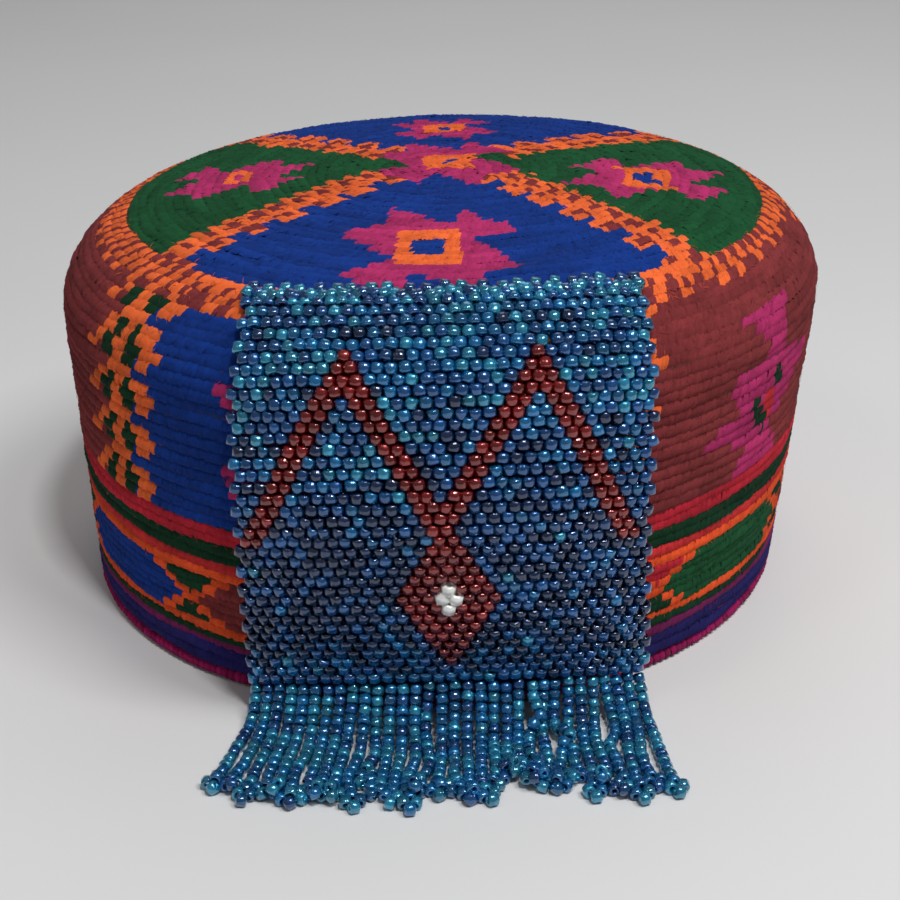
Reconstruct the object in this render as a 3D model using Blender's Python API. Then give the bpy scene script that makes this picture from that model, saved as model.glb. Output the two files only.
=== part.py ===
"""Tubeteika skullcap with a woven bead panel and fringe, modelled in millimetres and written in metres.

The cap is a low drum with a rolled shoulder and a shallow domed top. It leans slightly, as a hand-worked cap
does. Its front faces -Y. A panel of seed beads hangs from the front of the shoulder and ends in a fringe whose
locks lie on the table. The origin is the centre of the whole object's footprint, on the table.
"""

import math

import bmesh
import bpy
from mathutils import Vector

MM = 0.001
GAP = 0.3

# Cap outline, worked from the real cap: radius and height, outside
RIM_RADIUS = 93.5
SHOULDER_RADIUS = 98.3
SHOULDER_HEIGHT = 76.8
SHOULDER_REACH = 33.0
SHOULDER_RISE = 24.7
DOME_SLOPE = 0.116
WALL = 3.0
LEAN = 0.042

# Where one worked piece ends and the next begins
BINDING_HEIGHT = 3.6
BINDING_WIDTH = 3.8
BINDING_FLAT = 2.2
BINDING_CHAMFER = 0.3
HEM_TOP = 44.4
WALL_TOP = 84.0

# Bead panel: columns and rows of beads and the size of one bead
COLUMNS = 32
ROWS = 37
BEAD_PITCH = 3.03
BEAD = 2.6
PANEL_TOP_ANGLE = math.radians(59.0)
PANEL_BOTTOM = 11.8
PANEL_TURN = math.radians(-0.6)
PANEL_DROOP = 4.2
TOOTH = 0.75
PANEL_CELLS = 16

# The sewn top edge: each cell of the panel is split there, and every other point stands proud
TOP_SPLIT = 3
SCALLOP = 0.9

# How the panel hangs: share of the way down, distance off the cap, flatness of its section, share of its
# width, and how far it has swung to the side
PANEL_HANG = (
    {"down": 0.00, "off": 1.7, "flat": 1.00, "width": 0.95, "swing": 0.0},
    {"down": 0.28, "off": 2.0, "flat": 1.02, "width": 1.00, "swing": 0.0},
    {"down": 0.56, "off": 7.8, "flat": 1.12, "width": 0.97, "swing": 0.2},
    {"down": 0.80, "off": 6.8, "flat": 1.32, "width": 0.97, "swing": 1.2},
    {"down": 1.00, "off": 4.0, "flat": 1.55, "width": 0.97, "swing": 2.2},
)
SIDE_STEP = 0.5
DOWN_STEP = 0.004

# Fringe: each lock's first and last column, and where its tip lies, sideways and forward of the cap's axis
LOCKS = (
    {"first": 0, "last": 1, "side": -51.7, "reach": 125.5},
    {"first": 2, "last": 4, "side": -43.2, "reach": 129.2},
    {"first": 5, "last": 7, "side": -34.0, "reach": 131.0},
    {"first": 8, "last": 9, "side": -26.0, "reach": 130.2},
    {"first": 10, "last": 11, "side": -19.9, "reach": 131.8},
    {"first": 12, "last": 14, "side": -11.0, "reach": 132.8},
    {"first": 15, "last": 16, "side": -3.0, "reach": 130.9},
    {"first": 17, "last": 19, "side": 7.6, "reach": 132.4},
    {"first": 20, "last": 21, "side": 14.6, "reach": 126.0},
    {"first": 22, "last": 23, "side": 20.5, "reach": 128.3},
    {"first": 24, "last": 25, "side": 27.2, "reach": 128.4},
    {"first": 26, "last": 27, "side": 33.4, "reach": 132.9},
    {"first": 28, "last": 29, "side": 42.0, "reach": 134.6},
    {"first": 30, "last": 31, "side": 50.0, "reach": 134.8},
)
LOCK_STEPS = 8
LOCK_SPACE = 0.5
LOCK_TAPER = 0.86

# Where a lock's bend lies between its root and its tip, as shares of the way sideways and forward
BEND_SIDE = 0.35
BEND_FORWARD = 0.45

# The cap's axis, placed so that the whole object is centred over the origin
FRINGE_REACH = 135.0
AXIS_X = -LEAN * SHOULDER_HEIGHT
AXIS_Y = (FRINGE_REACH - SHOULDER_RADIUS) / 2

HALF_PANEL = COLUMNS * BEAD_PITCH / 2
SIDES = 64
WALL_RINGS = 4
SHOULDER_RINGS = 7
DOME_RINGS = 5


def clear_scene():
    """Start from an empty scene."""
    for item in list(bpy.data.objects):
        bpy.data.objects.remove(item)


def finish(name, colour, roughness):
    """A plain Principled material in the piece's main colour."""
    made = bpy.data.materials.new(name)
    made.use_nodes = True
    shader = made.node_tree.nodes["Principled BSDF"]
    shader.inputs["Base Color"].default_value = (*colour, 1.0)
    shader.inputs["Roughness"].default_value = roughness
    made.diffuse_color = (*colour, 1.0)
    return made


def add_piece(name, points, faces, material):
    """Make one closed mesh object from points in millimetres."""
    mesh = bpy.data.meshes.new(name)
    mesh.from_pydata([Vector(p) * MM for p in points], [], faces)
    work = bmesh.new()
    work.from_mesh(mesh)
    bmesh.ops.recalc_face_normals(work, faces=work.faces)
    work.to_mesh(mesh)
    work.free()
    mesh.materials.append(material)
    mesh.shade_smooth()
    mesh.set_sharp_from_angle(angle=math.radians(40.0))
    piece = bpy.data.objects.new(name, mesh)
    bpy.context.scene.collection.objects.link(piece)
    return piece


def wall_radius(height):
    """Outer radius of the wall, which opens evenly from rim to shoulder."""
    return RIM_RADIUS + (SHOULDER_RADIUS - RIM_RADIUS) * height / SHOULDER_HEIGHT


def shoulder_point(angle):
    """Radius and height on the rolled shoulder, from 0 at its widest."""
    radius = SHOULDER_RADIUS - SHOULDER_REACH + SHOULDER_REACH * math.cos(angle)
    return radius, SHOULDER_HEIGHT + SHOULDER_RISE * math.sin(angle)


def seam_angle(height):
    """Shoulder angle at a height above the widest point."""
    return math.asin((height - SHOULDER_HEIGHT) / SHOULDER_RISE)


def dome_edge_angle():
    """Shoulder angle at which its slope meets the slope of the dome."""
    return math.atan2(SHOULDER_RISE, SHOULDER_REACH * DOME_SLOPE)


def dome_point(share):
    """Radius and height on the dome, from its edge at 0 to the centre at 1."""
    edge_radius, edge_height = shoulder_point(dome_edge_angle())
    radius = edge_radius * (1 - share)
    rise = DOME_SLOPE * edge_radius / 2
    return radius, edge_height + rise * (1 - (radius / edge_radius) ** 2)


def spread(low, high, count):
    """Evenly spaced values, both ends included."""
    return [low + (high - low) * i / count for i in range(count + 1)]


def inward(line, distance):
    """A line of radius and height moved in by a wall's thickness, square to itself."""
    moved = []
    for i, (radius, height) in enumerate(line):
        before = line[max(i - 1, 0)]
        after = line[min(i + 1, len(line) - 1)]
        along = Vector((after[0] - before[0], after[1] - before[1])).normalized()
        moved.append((radius - along.y * distance, height + along.x * distance))
    return moved


def cap_point(radius, height, turn):
    """A point of the leaning cap at a turn about its axis, 0 at +X."""
    return (
        AXIS_X + LEAN * height + radius * math.cos(turn),
        AXIS_Y + radius * math.sin(turn),
        height,
    )


def turned_ring(name, section, material):
    """A closed section of radius and height carried round the cap."""
    count = len(section)
    points = []
    for side in range(SIDES):
        turn = 2 * math.pi * side / SIDES
        points += [cap_point(radius, height, turn) for radius, height in section]
    faces = []
    for side in range(SIDES):
        here = side * count
        there = (side + 1) % SIDES * count
        for i in range(count):
            j = (i + 1) % count
            faces.append((here + i, there + i, there + j, here + j))
    return add_piece(name, points, faces, material)


def wall_section(line):
    """The closed section of a wall whose outer face is the given line."""
    inner = inward(line, WALL)
    inner[0] = (inner[0][0], line[0][1])
    inner[-1] = (inner[-1][0], line[-1][1])
    return line + inner[::-1]


def build_crown_top(material):
    """The domed top with its rolled shoulder, closed over the head."""
    angles = spread(seam_angle(WALL_TOP + GAP), dome_edge_angle(), SHOULDER_RINGS)
    outer = [shoulder_point(angle) for angle in angles]
    outer += [dome_point(share) for share in spread(0.0, 1.0, DOME_RINGS)[1:]]
    inner = inward(outer, WALL)
    inner[0] = (inner[0][0], outer[0][1])
    inner[-1] = (0.0, outer[-1][1] - WALL)
    rings = len(outer) - 1
    points = []
    faces = []
    starts = []
    for line in (outer, inner):
        starts.append(len(points))
        for radius, height in line[:-1]:
            points += [cap_point(radius, height, 2 * math.pi * s / SIDES) for s in range(SIDES)]
        points.append(cap_point(0.0, line[-1][1], 0.0))
    for start in starts:
        pole = start + rings * SIDES
        for s in range(SIDES):
            t = (s + 1) % SIDES
            for ring in range(rings - 1):
                low = start + ring * SIDES
                high = low + SIDES
                faces.append((low + s, low + t, high + t, high + s))
            faces.append((pole - SIDES + s, pole - SIDES + t, pole))
    for s in range(SIDES):
        t = (s + 1) % SIDES
        faces.append((starts[0] + s, starts[0] + t, starts[1] + t, starts[1] + s))
    return add_piece("crown_top", points, faces, material)


def build_side_wall(material):
    """The wall above the hem band, ending a little way up the shoulder."""
    heights = spread(HEM_TOP + GAP, SHOULDER_HEIGHT, WALL_RINGS)
    line = [(wall_radius(height), height) for height in heights]
    line += [shoulder_point(angle) for angle in spread(0.0, seam_angle(WALL_TOP), 2)[1:]]
    return turned_ring("side_wall", wall_section(line), material)


def build_hem_band(material):
    """The banded lower wall above the binding."""
    heights = spread(BINDING_HEIGHT + GAP, HEM_TOP, WALL_RINGS)
    line = [(wall_radius(height), height) for height in heights]
    return turned_ring("hem_band", wall_section(line), material)


def build_rim_binding(material):
    """The wrapped edge: a soft roll, pressed flat where the cap stands on it."""
    middle = RIM_RADIUS - WALL / 2
    half = BINDING_WIDTH / 2
    flat = BINDING_FLAT / 2
    corner = half - flat
    chamfer = corner * BINDING_CHAMFER
    section = [
        (middle - flat, 0.0),
        (middle + flat, 0.0),
        (middle + half - chamfer, chamfer),
        (middle + half, corner),
        (middle + half, BINDING_HEIGHT - corner),
        (middle + flat, BINDING_HEIGHT),
        (middle - flat, BINDING_HEIGHT),
        (middle - half, BINDING_HEIGHT - corner),
        (middle - half, corner),
        (middle - half + chamfer, chamfer),
    ]
    return turned_ring("rim_binding", section, material)


def ease(share):
    """A smooth step from 0 to 1."""
    return share * share * (3 - 2 * share)


def hang(down, column):
    """A value of the panel's hang at a share of its length."""
    for upper, lower in zip(PANEL_HANG, PANEL_HANG[1:]):
        if down <= lower["down"]:
            share = (down - upper["down"]) / (lower["down"] - upper["down"])
            return upper[column] + (lower[column] - upper[column]) * ease(max(share, 0.0))
    return PANEL_HANG[-1][column]


def shoulder_length():
    """Length of the panel's way over the shoulder."""
    return PANEL_TOP_ANGLE * (SHOULDER_REACH + SHOULDER_RISE) / 2


def panel_length():
    """Length of the cap's outline behind the panel."""
    return shoulder_length() + SHOULDER_HEIGHT - PANEL_BOTTOM


def panel_line(down):
    """Radius and height of the cap's outline behind the panel, and its outward direction."""
    along = down * panel_length()
    if along < shoulder_length():
        angle = PANEL_TOP_ANGLE * (1 - along / shoulder_length())
        radius, height = shoulder_point(angle)
        out = Vector((SHOULDER_RISE * math.cos(angle), SHOULDER_REACH * math.sin(angle)))
        return radius, height, out.normalized()
    height = SHOULDER_HEIGHT - (along - shoulder_length())
    return wall_radius(height), height, Vector((1.0, 0.0))


def panel_middle(across, down):
    """A point on the panel's middle surface: millimetres across from its centre line, share of the way down."""
    down += PANEL_DROOP / panel_length() * (across / HALF_PANEL) ** 2
    radius, height, out = panel_line(down)
    front = radius + out.x * hang(down, "off")
    height += out.y * hang(down, "off")
    bend = front * hang(down, "flat")
    turn = across / bend
    x = bend * math.sin(turn) + hang(down, "swing")
    y = -front + bend * (1 - math.cos(turn))
    cos_turn = math.cos(PANEL_TURN)
    sin_turn = math.sin(PANEL_TURN)
    return Vector((
        AXIS_X + LEAN * height + x * cos_turn - y * sin_turn,
        AXIS_Y + x * sin_turn + y * cos_turn,
        height,
    ))


def panel_point(across, down, out):
    """A point off the panel's middle surface, square to it."""
    sideways = panel_middle(across + SIDE_STEP, down) - panel_middle(across - SIDE_STEP, down)
    upwards = panel_middle(across, down - DOWN_STEP) - panel_middle(across, down + DOWN_STEP)
    normal = sideways.cross(upwards).normalized()
    return panel_middle(across, down) + normal * out


def build_bead_panel(material):
    """The woven panel as one slab, with toothed sides and a scalloped top edge."""
    top = PANEL_CELLS * TOP_SPLIT
    points = []
    for out in (BEAD / 2, -BEAD / 2):
        for i in range(top + 1):
            across = HALF_PANEL * hang(0.0, "width") * (2 * i / top - 1)
            lift = SCALLOP if i % 2 else -SCALLOP
            points.append(panel_point(across, -lift / panel_length(), out))
        for row in range(1, ROWS + 1):
            down = row / ROWS
            edge = HALF_PANEL + (TOOTH if row % 2 else -TOOTH)
            for cell in range(PANEL_CELLS + 1):
                across = edge * hang(down, "width") * (2 * cell / PANEL_CELLS - 1)
                points.append(panel_point(across, down, out))

    def at(row, cell):
        """Index of a point of the outer sheet."""
        if row == 0:
            return cell * TOP_SPLIT
        return top + 1 + (row - 1) * (PANEL_CELLS + 1) + cell

    sheet = len(points) // 2
    outer = []
    for cell in range(PANEL_CELLS):
        upper = [at(0, cell) + i for i in range(TOP_SPLIT, -1, -1)]
        outer.append((*upper, at(1, cell), at(1, cell + 1)))
    for row in range(1, ROWS):
        for cell in range(PANEL_CELLS):
            outer.append((at(row, cell), at(row + 1, cell), at(row + 1, cell + 1), at(row, cell + 1)))
    inner = [tuple(sheet + i for i in reversed(face)) for face in outer]
    rim = list(range(top + 1))
    rim += [at(row, PANEL_CELLS) for row in range(1, ROWS + 1)]
    rim += [at(ROWS, cell) for cell in range(PANEL_CELLS - 1, -1, -1)]
    rim += [at(row, 0) for row in range(ROWS - 1, 0, -1)]
    sides = [(a, b, sheet + b, sheet + a) for a, b in zip(rim, rim[1:] + rim[:1])]
    return add_piece("bead_panel", points, outer + inner + sides, material)


def lock_ring(lock, share, low_down):
    """The four corners of a lock's section at a share of its length, from heading to tip."""
    pitch = BEAD_PITCH * hang(1.0, "width")
    centre = (lock["first"] + lock["last"] + 1 - COLUMNS) / 2 * pitch
    half = (lock["last"] - lock["first"] + 1) * pitch / 2 - LOCK_SPACE / 2
    half *= 1 + (LOCK_TAPER - 1) * share
    start = panel_point(centre, low_down, 0.0)
    tip = Vector((AXIS_X + lock["side"], AXIS_Y - lock["reach"], BEAD / 2))
    knee = Vector((
        start.x + (tip.x - start.x) * BEND_SIDE,
        start.y + (tip.y - start.y) * BEND_FORWARD,
        BEAD / 2,
    ))
    left = 1 - share
    middle = start * left * left + knee * 2 * left * share + tip * share * share
    along = ((knee - start) * left + (tip - knee) * share).normalized()
    root = panel_point(centre + SIDE_STEP, low_down, 0.0) - panel_point(centre - SIDE_STEP, low_down, 0.0)
    sideways = root.normalized().lerp(Vector((1.0, 0.0, 0.0)), share).normalized()
    up = sideways.cross(along).normalized()
    if up.z < 0:
        up = -up
    up = up.lerp(Vector((0.0, 0.0, 1.0)), share).normalized()
    return [
        middle - sideways * half + up * BEAD / 2,
        middle + sideways * half + up * BEAD / 2,
        middle + sideways * half - up * BEAD / 2,
        middle - sideways * half - up * BEAD / 2,
    ]


def build_bead_fringe(material):
    """A heading row with the locks grown from its lower face, and each lock laid down on the table."""
    high_down = 1 + GAP / panel_length()
    low_down = high_down + 1 / ROWS
    pitch = BEAD_PITCH * hang(1.0, "width")
    cuts = []
    for lock in LOCKS:
        cuts.append((lock["first"] - COLUMNS / 2) * pitch + LOCK_SPACE / 2)
        cuts.append((lock["last"] + 1 - COLUMNS / 2) * pitch - LOCK_SPACE / 2)
    points = []
    for across in cuts:
        points.append(panel_point(across, high_down, BEAD / 2))
        points.append(panel_point(across, low_down, BEAD / 2))
        points.append(panel_point(across, low_down, -BEAD / 2))
        points.append(panel_point(across, high_down, -BEAD / 2))
    faces = [(0, 1, 2, 3)]
    last = 4 * (len(cuts) - 1)
    faces.append((last + 3, last + 2, last + 1, last))
    for i in range(len(cuts) - 1):
        a = 4 * i
        b = a + 4
        faces.append((a, a + 1, b + 1, b))
        faces.append((a + 2, a + 3, b + 3, b + 2))
        faces.append((a + 3, a, b, b + 3))
        if i % 2:
            faces.append((a + 1, a + 2, b + 2, b + 1))
    for number, lock in enumerate(LOCKS):
        a = 8 * number
        b = a + 4
        ring = [a + 1, b + 1, b + 2, a + 2]
        for share in spread(0.0, 1.0, LOCK_STEPS)[1:]:
            start = len(points)
            points += lock_ring(lock, share, low_down)
            after = [start + i for i in range(4)]
            for i in range(4):
                j = (i + 1) % 4
                faces.append((ring[i], after[i], after[j], ring[j]))
            ring = after
        faces.append(tuple(ring))
    return add_piece("bead_fringe", points, faces, material)


def main():
    """Build every piece of the cap."""
    clear_scene()
    build_crown_top(finish("crown_wool", (0.006, 0.032, 0.22), 0.9))
    build_side_wall(finish("wall_wool", (0.14, 0.02, 0.022), 0.9))
    build_hem_band(finish("hem_wool", (0.012, 0.05, 0.022), 0.9))
    build_rim_binding(finish("binding_wool", (0.23, 0.012, 0.07), 0.9))
    build_bead_panel(finish("panel_glass", (0.01, 0.1, 0.24), 0.15))
    build_bead_fringe(finish("fringe_glass", (0.01, 0.1, 0.24), 0.15))


main()
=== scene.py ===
"""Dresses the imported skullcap: wool stitching, bound rim, woven bead panel and bead fringe.

Sizes are in millimetres in the cap's own frame and become metres when a mesh is made. The front faces -Y.
A turn is an angle in degrees about the cap's leaning axis, 0 at +X, and a climb is the length of its outline
from the rim up.
"""

import logging
import math
from collections.abc import Callable, Sequence
from dataclasses import dataclass, field
from enum import Enum
from functools import cached_property

import bpy
import numpy as np
from mathutils import Matrix, Vector

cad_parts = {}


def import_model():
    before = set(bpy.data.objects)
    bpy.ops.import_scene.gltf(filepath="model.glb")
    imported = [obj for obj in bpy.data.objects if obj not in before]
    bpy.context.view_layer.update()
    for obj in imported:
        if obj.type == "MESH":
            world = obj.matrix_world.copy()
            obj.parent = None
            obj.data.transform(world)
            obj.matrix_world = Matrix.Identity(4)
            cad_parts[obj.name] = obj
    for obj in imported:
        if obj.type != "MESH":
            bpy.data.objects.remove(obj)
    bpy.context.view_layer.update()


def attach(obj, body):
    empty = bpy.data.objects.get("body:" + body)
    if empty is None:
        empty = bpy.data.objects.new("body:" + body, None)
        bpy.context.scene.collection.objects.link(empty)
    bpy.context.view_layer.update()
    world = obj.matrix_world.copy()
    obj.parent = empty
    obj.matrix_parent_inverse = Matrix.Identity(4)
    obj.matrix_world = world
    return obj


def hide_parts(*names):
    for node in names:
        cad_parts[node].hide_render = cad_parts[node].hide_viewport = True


LOG = logging.getLogger("skullcap")
MM = 0.001
BODY = "root"
LENGTHS = ("length", "width", "height", "hole")
Points = np.ndarray
Socket = bpy.types.NodeSocket
Object = bpy.types.Object
Material = bpy.types.Material


def linear(red: int, green: int, blue: int) -> tuple[float, float, float]:
    """Change a display colour of 0 to 255, by the usual display curve, to the linear one for shaders."""
    shares = (value / 255 for value in (red, green, blue))
    return tuple(s / 12.92 if s <= 0.04045 else ((s + 0.055) / 1.055) ** 2.4 for s in shares)


class Wool(Enum):
    """Dyed yarns of the cap."""

    BLUE = linear(16, 54, 134)
    NAVY = linear(36, 32, 96)
    GREEN = linear(24, 80, 46)
    DEEP_GREEN = linear(14, 54, 32)
    MAGENTA = linear(180, 48, 104)
    CRIMSON = linear(190, 38, 54)
    RED = linear(200, 48, 50)
    MAROON = linear(130, 51, 53)
    ORANGE = linear(240, 108, 54)
    FLAME = linear(232, 84, 40)
    PLUM = linear(120, 34, 88)
    RIM = linear(150, 26, 86)


class Bead(Enum):
    """Glass beads of the panel and its fringe."""

    # the darkest blue, mixed mostly into the panel's lower rows as painted shade
    NAVY = linear(2, 42, 88)
    BLUE = linear(4, 82, 146)
    SEA = linear(10, 112, 170)
    TEAL = linear(40, 146, 184)
    RED = linear(136, 15, 17)
    WHITE = linear(244, 244, 240)


@dataclass(frozen=True)
class CapForm:
    """The cap's outline, as the model gives it.

    The wall widens from the rim to the shoulder, most of a quarter of an ellipse rolls over it, and a shallow
    dome closes the top. The lean is how far the axis goes to +X for each millimetre of height.
    """

    rim_radius: float = 93.5
    shoulder_radius: float = 98.3
    shoulder_height: float = 76.8
    shoulder_reach: float = 33.0
    shoulder_rise: float = 24.7
    dome_slope: float = 0.116
    lean: float = 0.042
    fringe_reach: float = 135.0
    wall: float = 3.0
    samples: int = 400

    @property
    def axis(self) -> tuple[float, float]:
        """Place of the cap's axis at the rim."""
        return -self.lean * self.shoulder_height, (self.fringe_reach - self.shoulder_radius) / 2

    @cached_property
    def table(self) -> Points:
        """Sample the outline from the rim to the middle of the top.

        Returns:
            Rows of climb, radius, height and the outward direction's radius and height parts.
        """
        edge = math.atan2(self.shoulder_rise, self.shoulder_reach * self.dome_slope)
        height = np.linspace(0, self.shoulder_height, self.samples)
        wall = self.rim_radius + (self.shoulder_radius - self.rim_radius) * height / self.shoulder_height
        angle = np.linspace(0, edge, self.samples)[1:]
        roll = self.shoulder_radius - self.shoulder_reach + self.shoulder_reach * np.cos(angle)
        roll_height = self.shoulder_height + self.shoulder_rise * np.sin(angle)
        inwards = np.linspace(roll[-1], 0, self.samples)[1:]
        rise = self.dome_slope * roll[-1] / 2
        dome_height = roll_height[-1] + rise * (1 - (inwards / roll[-1]) ** 2)
        radii = np.concatenate([wall, roll, inwards])
        heights = np.concatenate([height, roll_height, dome_height])
        step = np.hypot(np.diff(radii), np.diff(heights))
        climb = np.concatenate([[0], np.cumsum(step)])
        along_radius = np.gradient(radii, climb)
        along_height = np.gradient(heights, climb)
        return np.stack([climb, radii, heights, along_height, -along_radius], 1)

    def at(self, climb: Points) -> tuple[Points, Points, Points, Points]:
        """Read the radius, the height and the outward direction's radius and height parts at some climbs."""
        return tuple(np.interp(climb, self.table[:, 0], values) for values in self.table.T[1:])

    def climb_at_height(self, height: float) -> float:
        """Length of outline from the rim up to a height."""
        return float(np.interp(height, self.table[:, 2], self.table[:, 0]))

    @property
    def full_climb(self) -> float:
        """Length of the whole outline, from the rim to the middle of the top."""
        return float(self.table[-1, 0])

    def place(self, turn: Points, climb: Points, out: Points | float = 0.0) -> Points:
        """Find points of the cap's surface.

        Args:
            turn: Turns about the axis, in degrees.
            climb: Lengths of outline from the rim.
            out: Distance outside the surface.

        Returns:
            One point a row.
        """
        radius, height, out_radius, out_height = self.at(climb)
        radius = radius + out_radius * out
        height = height + out_height * out
        angle = np.radians(turn)
        axis_x, axis_y = self.axis
        x = axis_x + self.lean * height + radius * np.cos(angle)
        y = axis_y + radius * np.sin(angle)
        return np.stack([x, y, height + 0 * x], 1)

    def directions(self, turn: Points, climb: Points) -> tuple[Points, Points, Points]:
        """Find the surface's own directions.

        Args:
            turn: Turns about the axis, in degrees.
            climb: Lengths of outline from the rim.

        Returns:
            Directions round the cap, up its outline and outwards, one a row.
        """
        _, _, out_radius, out_height = self.at(climb)
        angle = np.radians(turn)
        around = np.stack([-np.sin(angle), np.cos(angle), 0 * angle], 1)
        up = np.stack([-out_height * np.cos(angle), -out_height * np.sin(angle), out_radius], 1)
        out = np.stack([out_radius * np.cos(angle), out_radius * np.sin(angle), out_height], 1)
        return around, up, out


def inside(x: float, y: float, outline: Sequence[tuple[float, float]]) -> bool:
    """Tell whether a point lies in a closed outline.

    Args:
        x: Place across.
        y: Place up.
        outline: Corners in order.

    Returns:
        True inside.
    """
    found = False
    for (ax, ay), (bx, by) in zip(outline, (*outline[1:], outline[0])):
        if (ay > y) != (by > y) and x < ax + (bx - ax) * (y - ay) / (by - ay):
            found = not found
    return found


def apart(turn: float, other: float) -> float:
    """Turn from one place to another, between -180 and 180 degrees."""
    return (turn - other + 180) % 360 - 180


PINWHEEL = (
    (-8.0, 25.0), (3.0, 14.0), (6.0, 14.0), (8.5, 22.0), (14.0, 15.0), (18.0, 13.0), (20.0, 7.0), (10.0, 5.0),
    (14.0, -1.0), (21.0, -13.0), (12.0, -13.0), (12.0, -23.0), (9.0, -23.0), (-4.0, -12.0), (-6.0, -23.0),
    (-12.0, -19.0), (-20.0, -11.0), (-15.0, -9.0), (-7.0, -6.0), (-20.0, 10.0), (-17.0, 13.0), (-10.0, 14.0),
)
TALL_STAR = (
    (-13.0, 25.0), (11.0, 25.5), (6.0, 19.0), (7.0, 12.5), (17.0, 9.5), (29.0, 6.0), (18.0, 1.0),
    (14.0, -4.0), (8.0, -5.0), (3.0, -7.0), (8.0, -11.0), (13.0, -18.0), (-11.0, -18.0), (-9.0, -12.0),
    (-4.0, -8.0), (-12.0, -7.5), (-26.0, -6.0), (-18.0, -1.0), (-12.0, 1.0), (-14.0, 4.0), (-17.5, 9.5),
    (-6.0, 10.0), (-1.0, 11.0), (-1.5, 15.0), (-6.0, 19.0), (-8.0, 21.0),
)


@dataclass(frozen=True)
class Star:
    """A pinwheel star with an eye in a ring.

    The ring and the eye are given by half their width and half their height, and the arms by their outline at
    full size, turned by a number of quarters.
    """

    x: float
    y: float
    quarters: int = 0
    size: float = 1.0
    ring: tuple[float, float] = (7.0, 9.0)
    eye: tuple[float, float] = (3.6, 4.8)
    eye_wool: Wool = Wool.BLUE
    arms: tuple[tuple[float, float], ...] = PINWHEEL

    def colour(self, x: float, y: float) -> Wool | None:
        """Pick the yarn of one stitch.

        Args:
            x: Place across.
            y: Place up.

        Returns:
            The yarn, or None outside the star.
        """
        across = (x - self.x) / self.size
        up = (y - self.y) / self.size
        wide = abs(x - self.x)
        tall = abs(y - self.y)
        if wide < self.eye[0] and tall < self.eye[1]:
            return self.eye_wool
        if wide < self.ring[0] and tall < self.ring[1]:
            return Wool.ORANGE
        for _ in range(self.quarters):
            across, up = up, -across
        return Wool.MAGENTA if inside(across, up, self.arms) else None


@dataclass(frozen=True)
class Band:
    """A stepped band from the middle of the top to a corner.

    Lengths along it are from its start, and lengths across it are towards the blue side.
    """

    start: tuple[float, float]
    heading: float
    side: int
    length: float = 78.0
    tooth: float = 11.0
    first_tooth: float = -1.2
    tooth_share: float = 0.62
    notch: float = 3.2
    reach: float = 7.8
    green_edge: float = -5.0
    line_low: float = -0.2
    line_high: float = 1.9
    outline: float = 1.8
    spike: float = 2.8
    edge_line: float = 0.8
    dab: float = 1.9
    spot_every: int = 5

    def place(self, x: float, y: float) -> tuple[float, float]:
        """Turn a place on the top into lengths along and across the band.

        Args:
            x: Place across the top.
            y: Place up the top.

        Returns:
            Length along, and length across towards the blue side.
        """
        angle = math.radians(self.heading)
        away_x = x - self.start[0]
        away_y = y - self.start[1]
        ahead = away_x * math.cos(angle) + away_y * math.sin(angle)
        across = away_y * math.cos(angle) - away_x * math.sin(angle)
        return ahead, across * self.side

    def colour(self, x: float, y: float) -> Wool | None:
        """Pick the yarn of one stitch.

        Args:
            x: Place across the top.
            y: Place up the top.

        Returns:
            The yarn, or None beside the band.
        """
        ahead, across = self.place(x, y)
        if not 0 <= ahead <= self.length:
            return None
        beat = (ahead - self.first_tooth) / self.tooth % 1.0
        on_tooth = beat < self.tooth_share
        edge = self.reach if on_tooth else self.notch
        half_beat = beat * 2 % 1.0
        low_edge = self.green_edge - self.spike * max(0.0, 1.0 - abs(half_beat - 0.5) * 4)
        if across > edge or across < low_edge:
            return None
        beside = min(beat, self.tooth_share - beat) * self.tooth
        if across > edge - self.outline or (on_tooth and across > self.notch and beside < self.outline):
            return Wool.ORANGE
        if self.line_low < across < self.line_high or across < self.green_edge + self.edge_line:
            return Wool.ORANGE
        cell = math.floor(ahead / self.dab)
        if across > self.line_high:
            return Wool.ORANGE if cell % self.spot_every == self.spot_every // 2 else Wool.MAROON
        return Wool.ORANGE if cell % 2 else Wool.MAROON


class Mark(Enum):
    """Letters of the vine's chart."""

    ORANGE = "o"
    GREEN = "g"
    GROUND = "."


GROUNDS = (Wool.BLUE, Wool.MAROON, Wool.BLUE, Wool.GREEN, Wool.MAROON)
LEAF_HIGH = ((3.6, 7.6), (8.2, 6.4), (9.0, 3.0), (4.6, 3.2))
LEAF_LOW = ((-7.4, 2.8), (-3.8, 2.2), (2.4, -4.6), (0.8, -8.0), (-3.6, -4.6))
LEAF_EYE = ((-2.6, 3.6), (3.4, 2.6), (5.6, -3.0), (3.0, -5.4))


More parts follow.
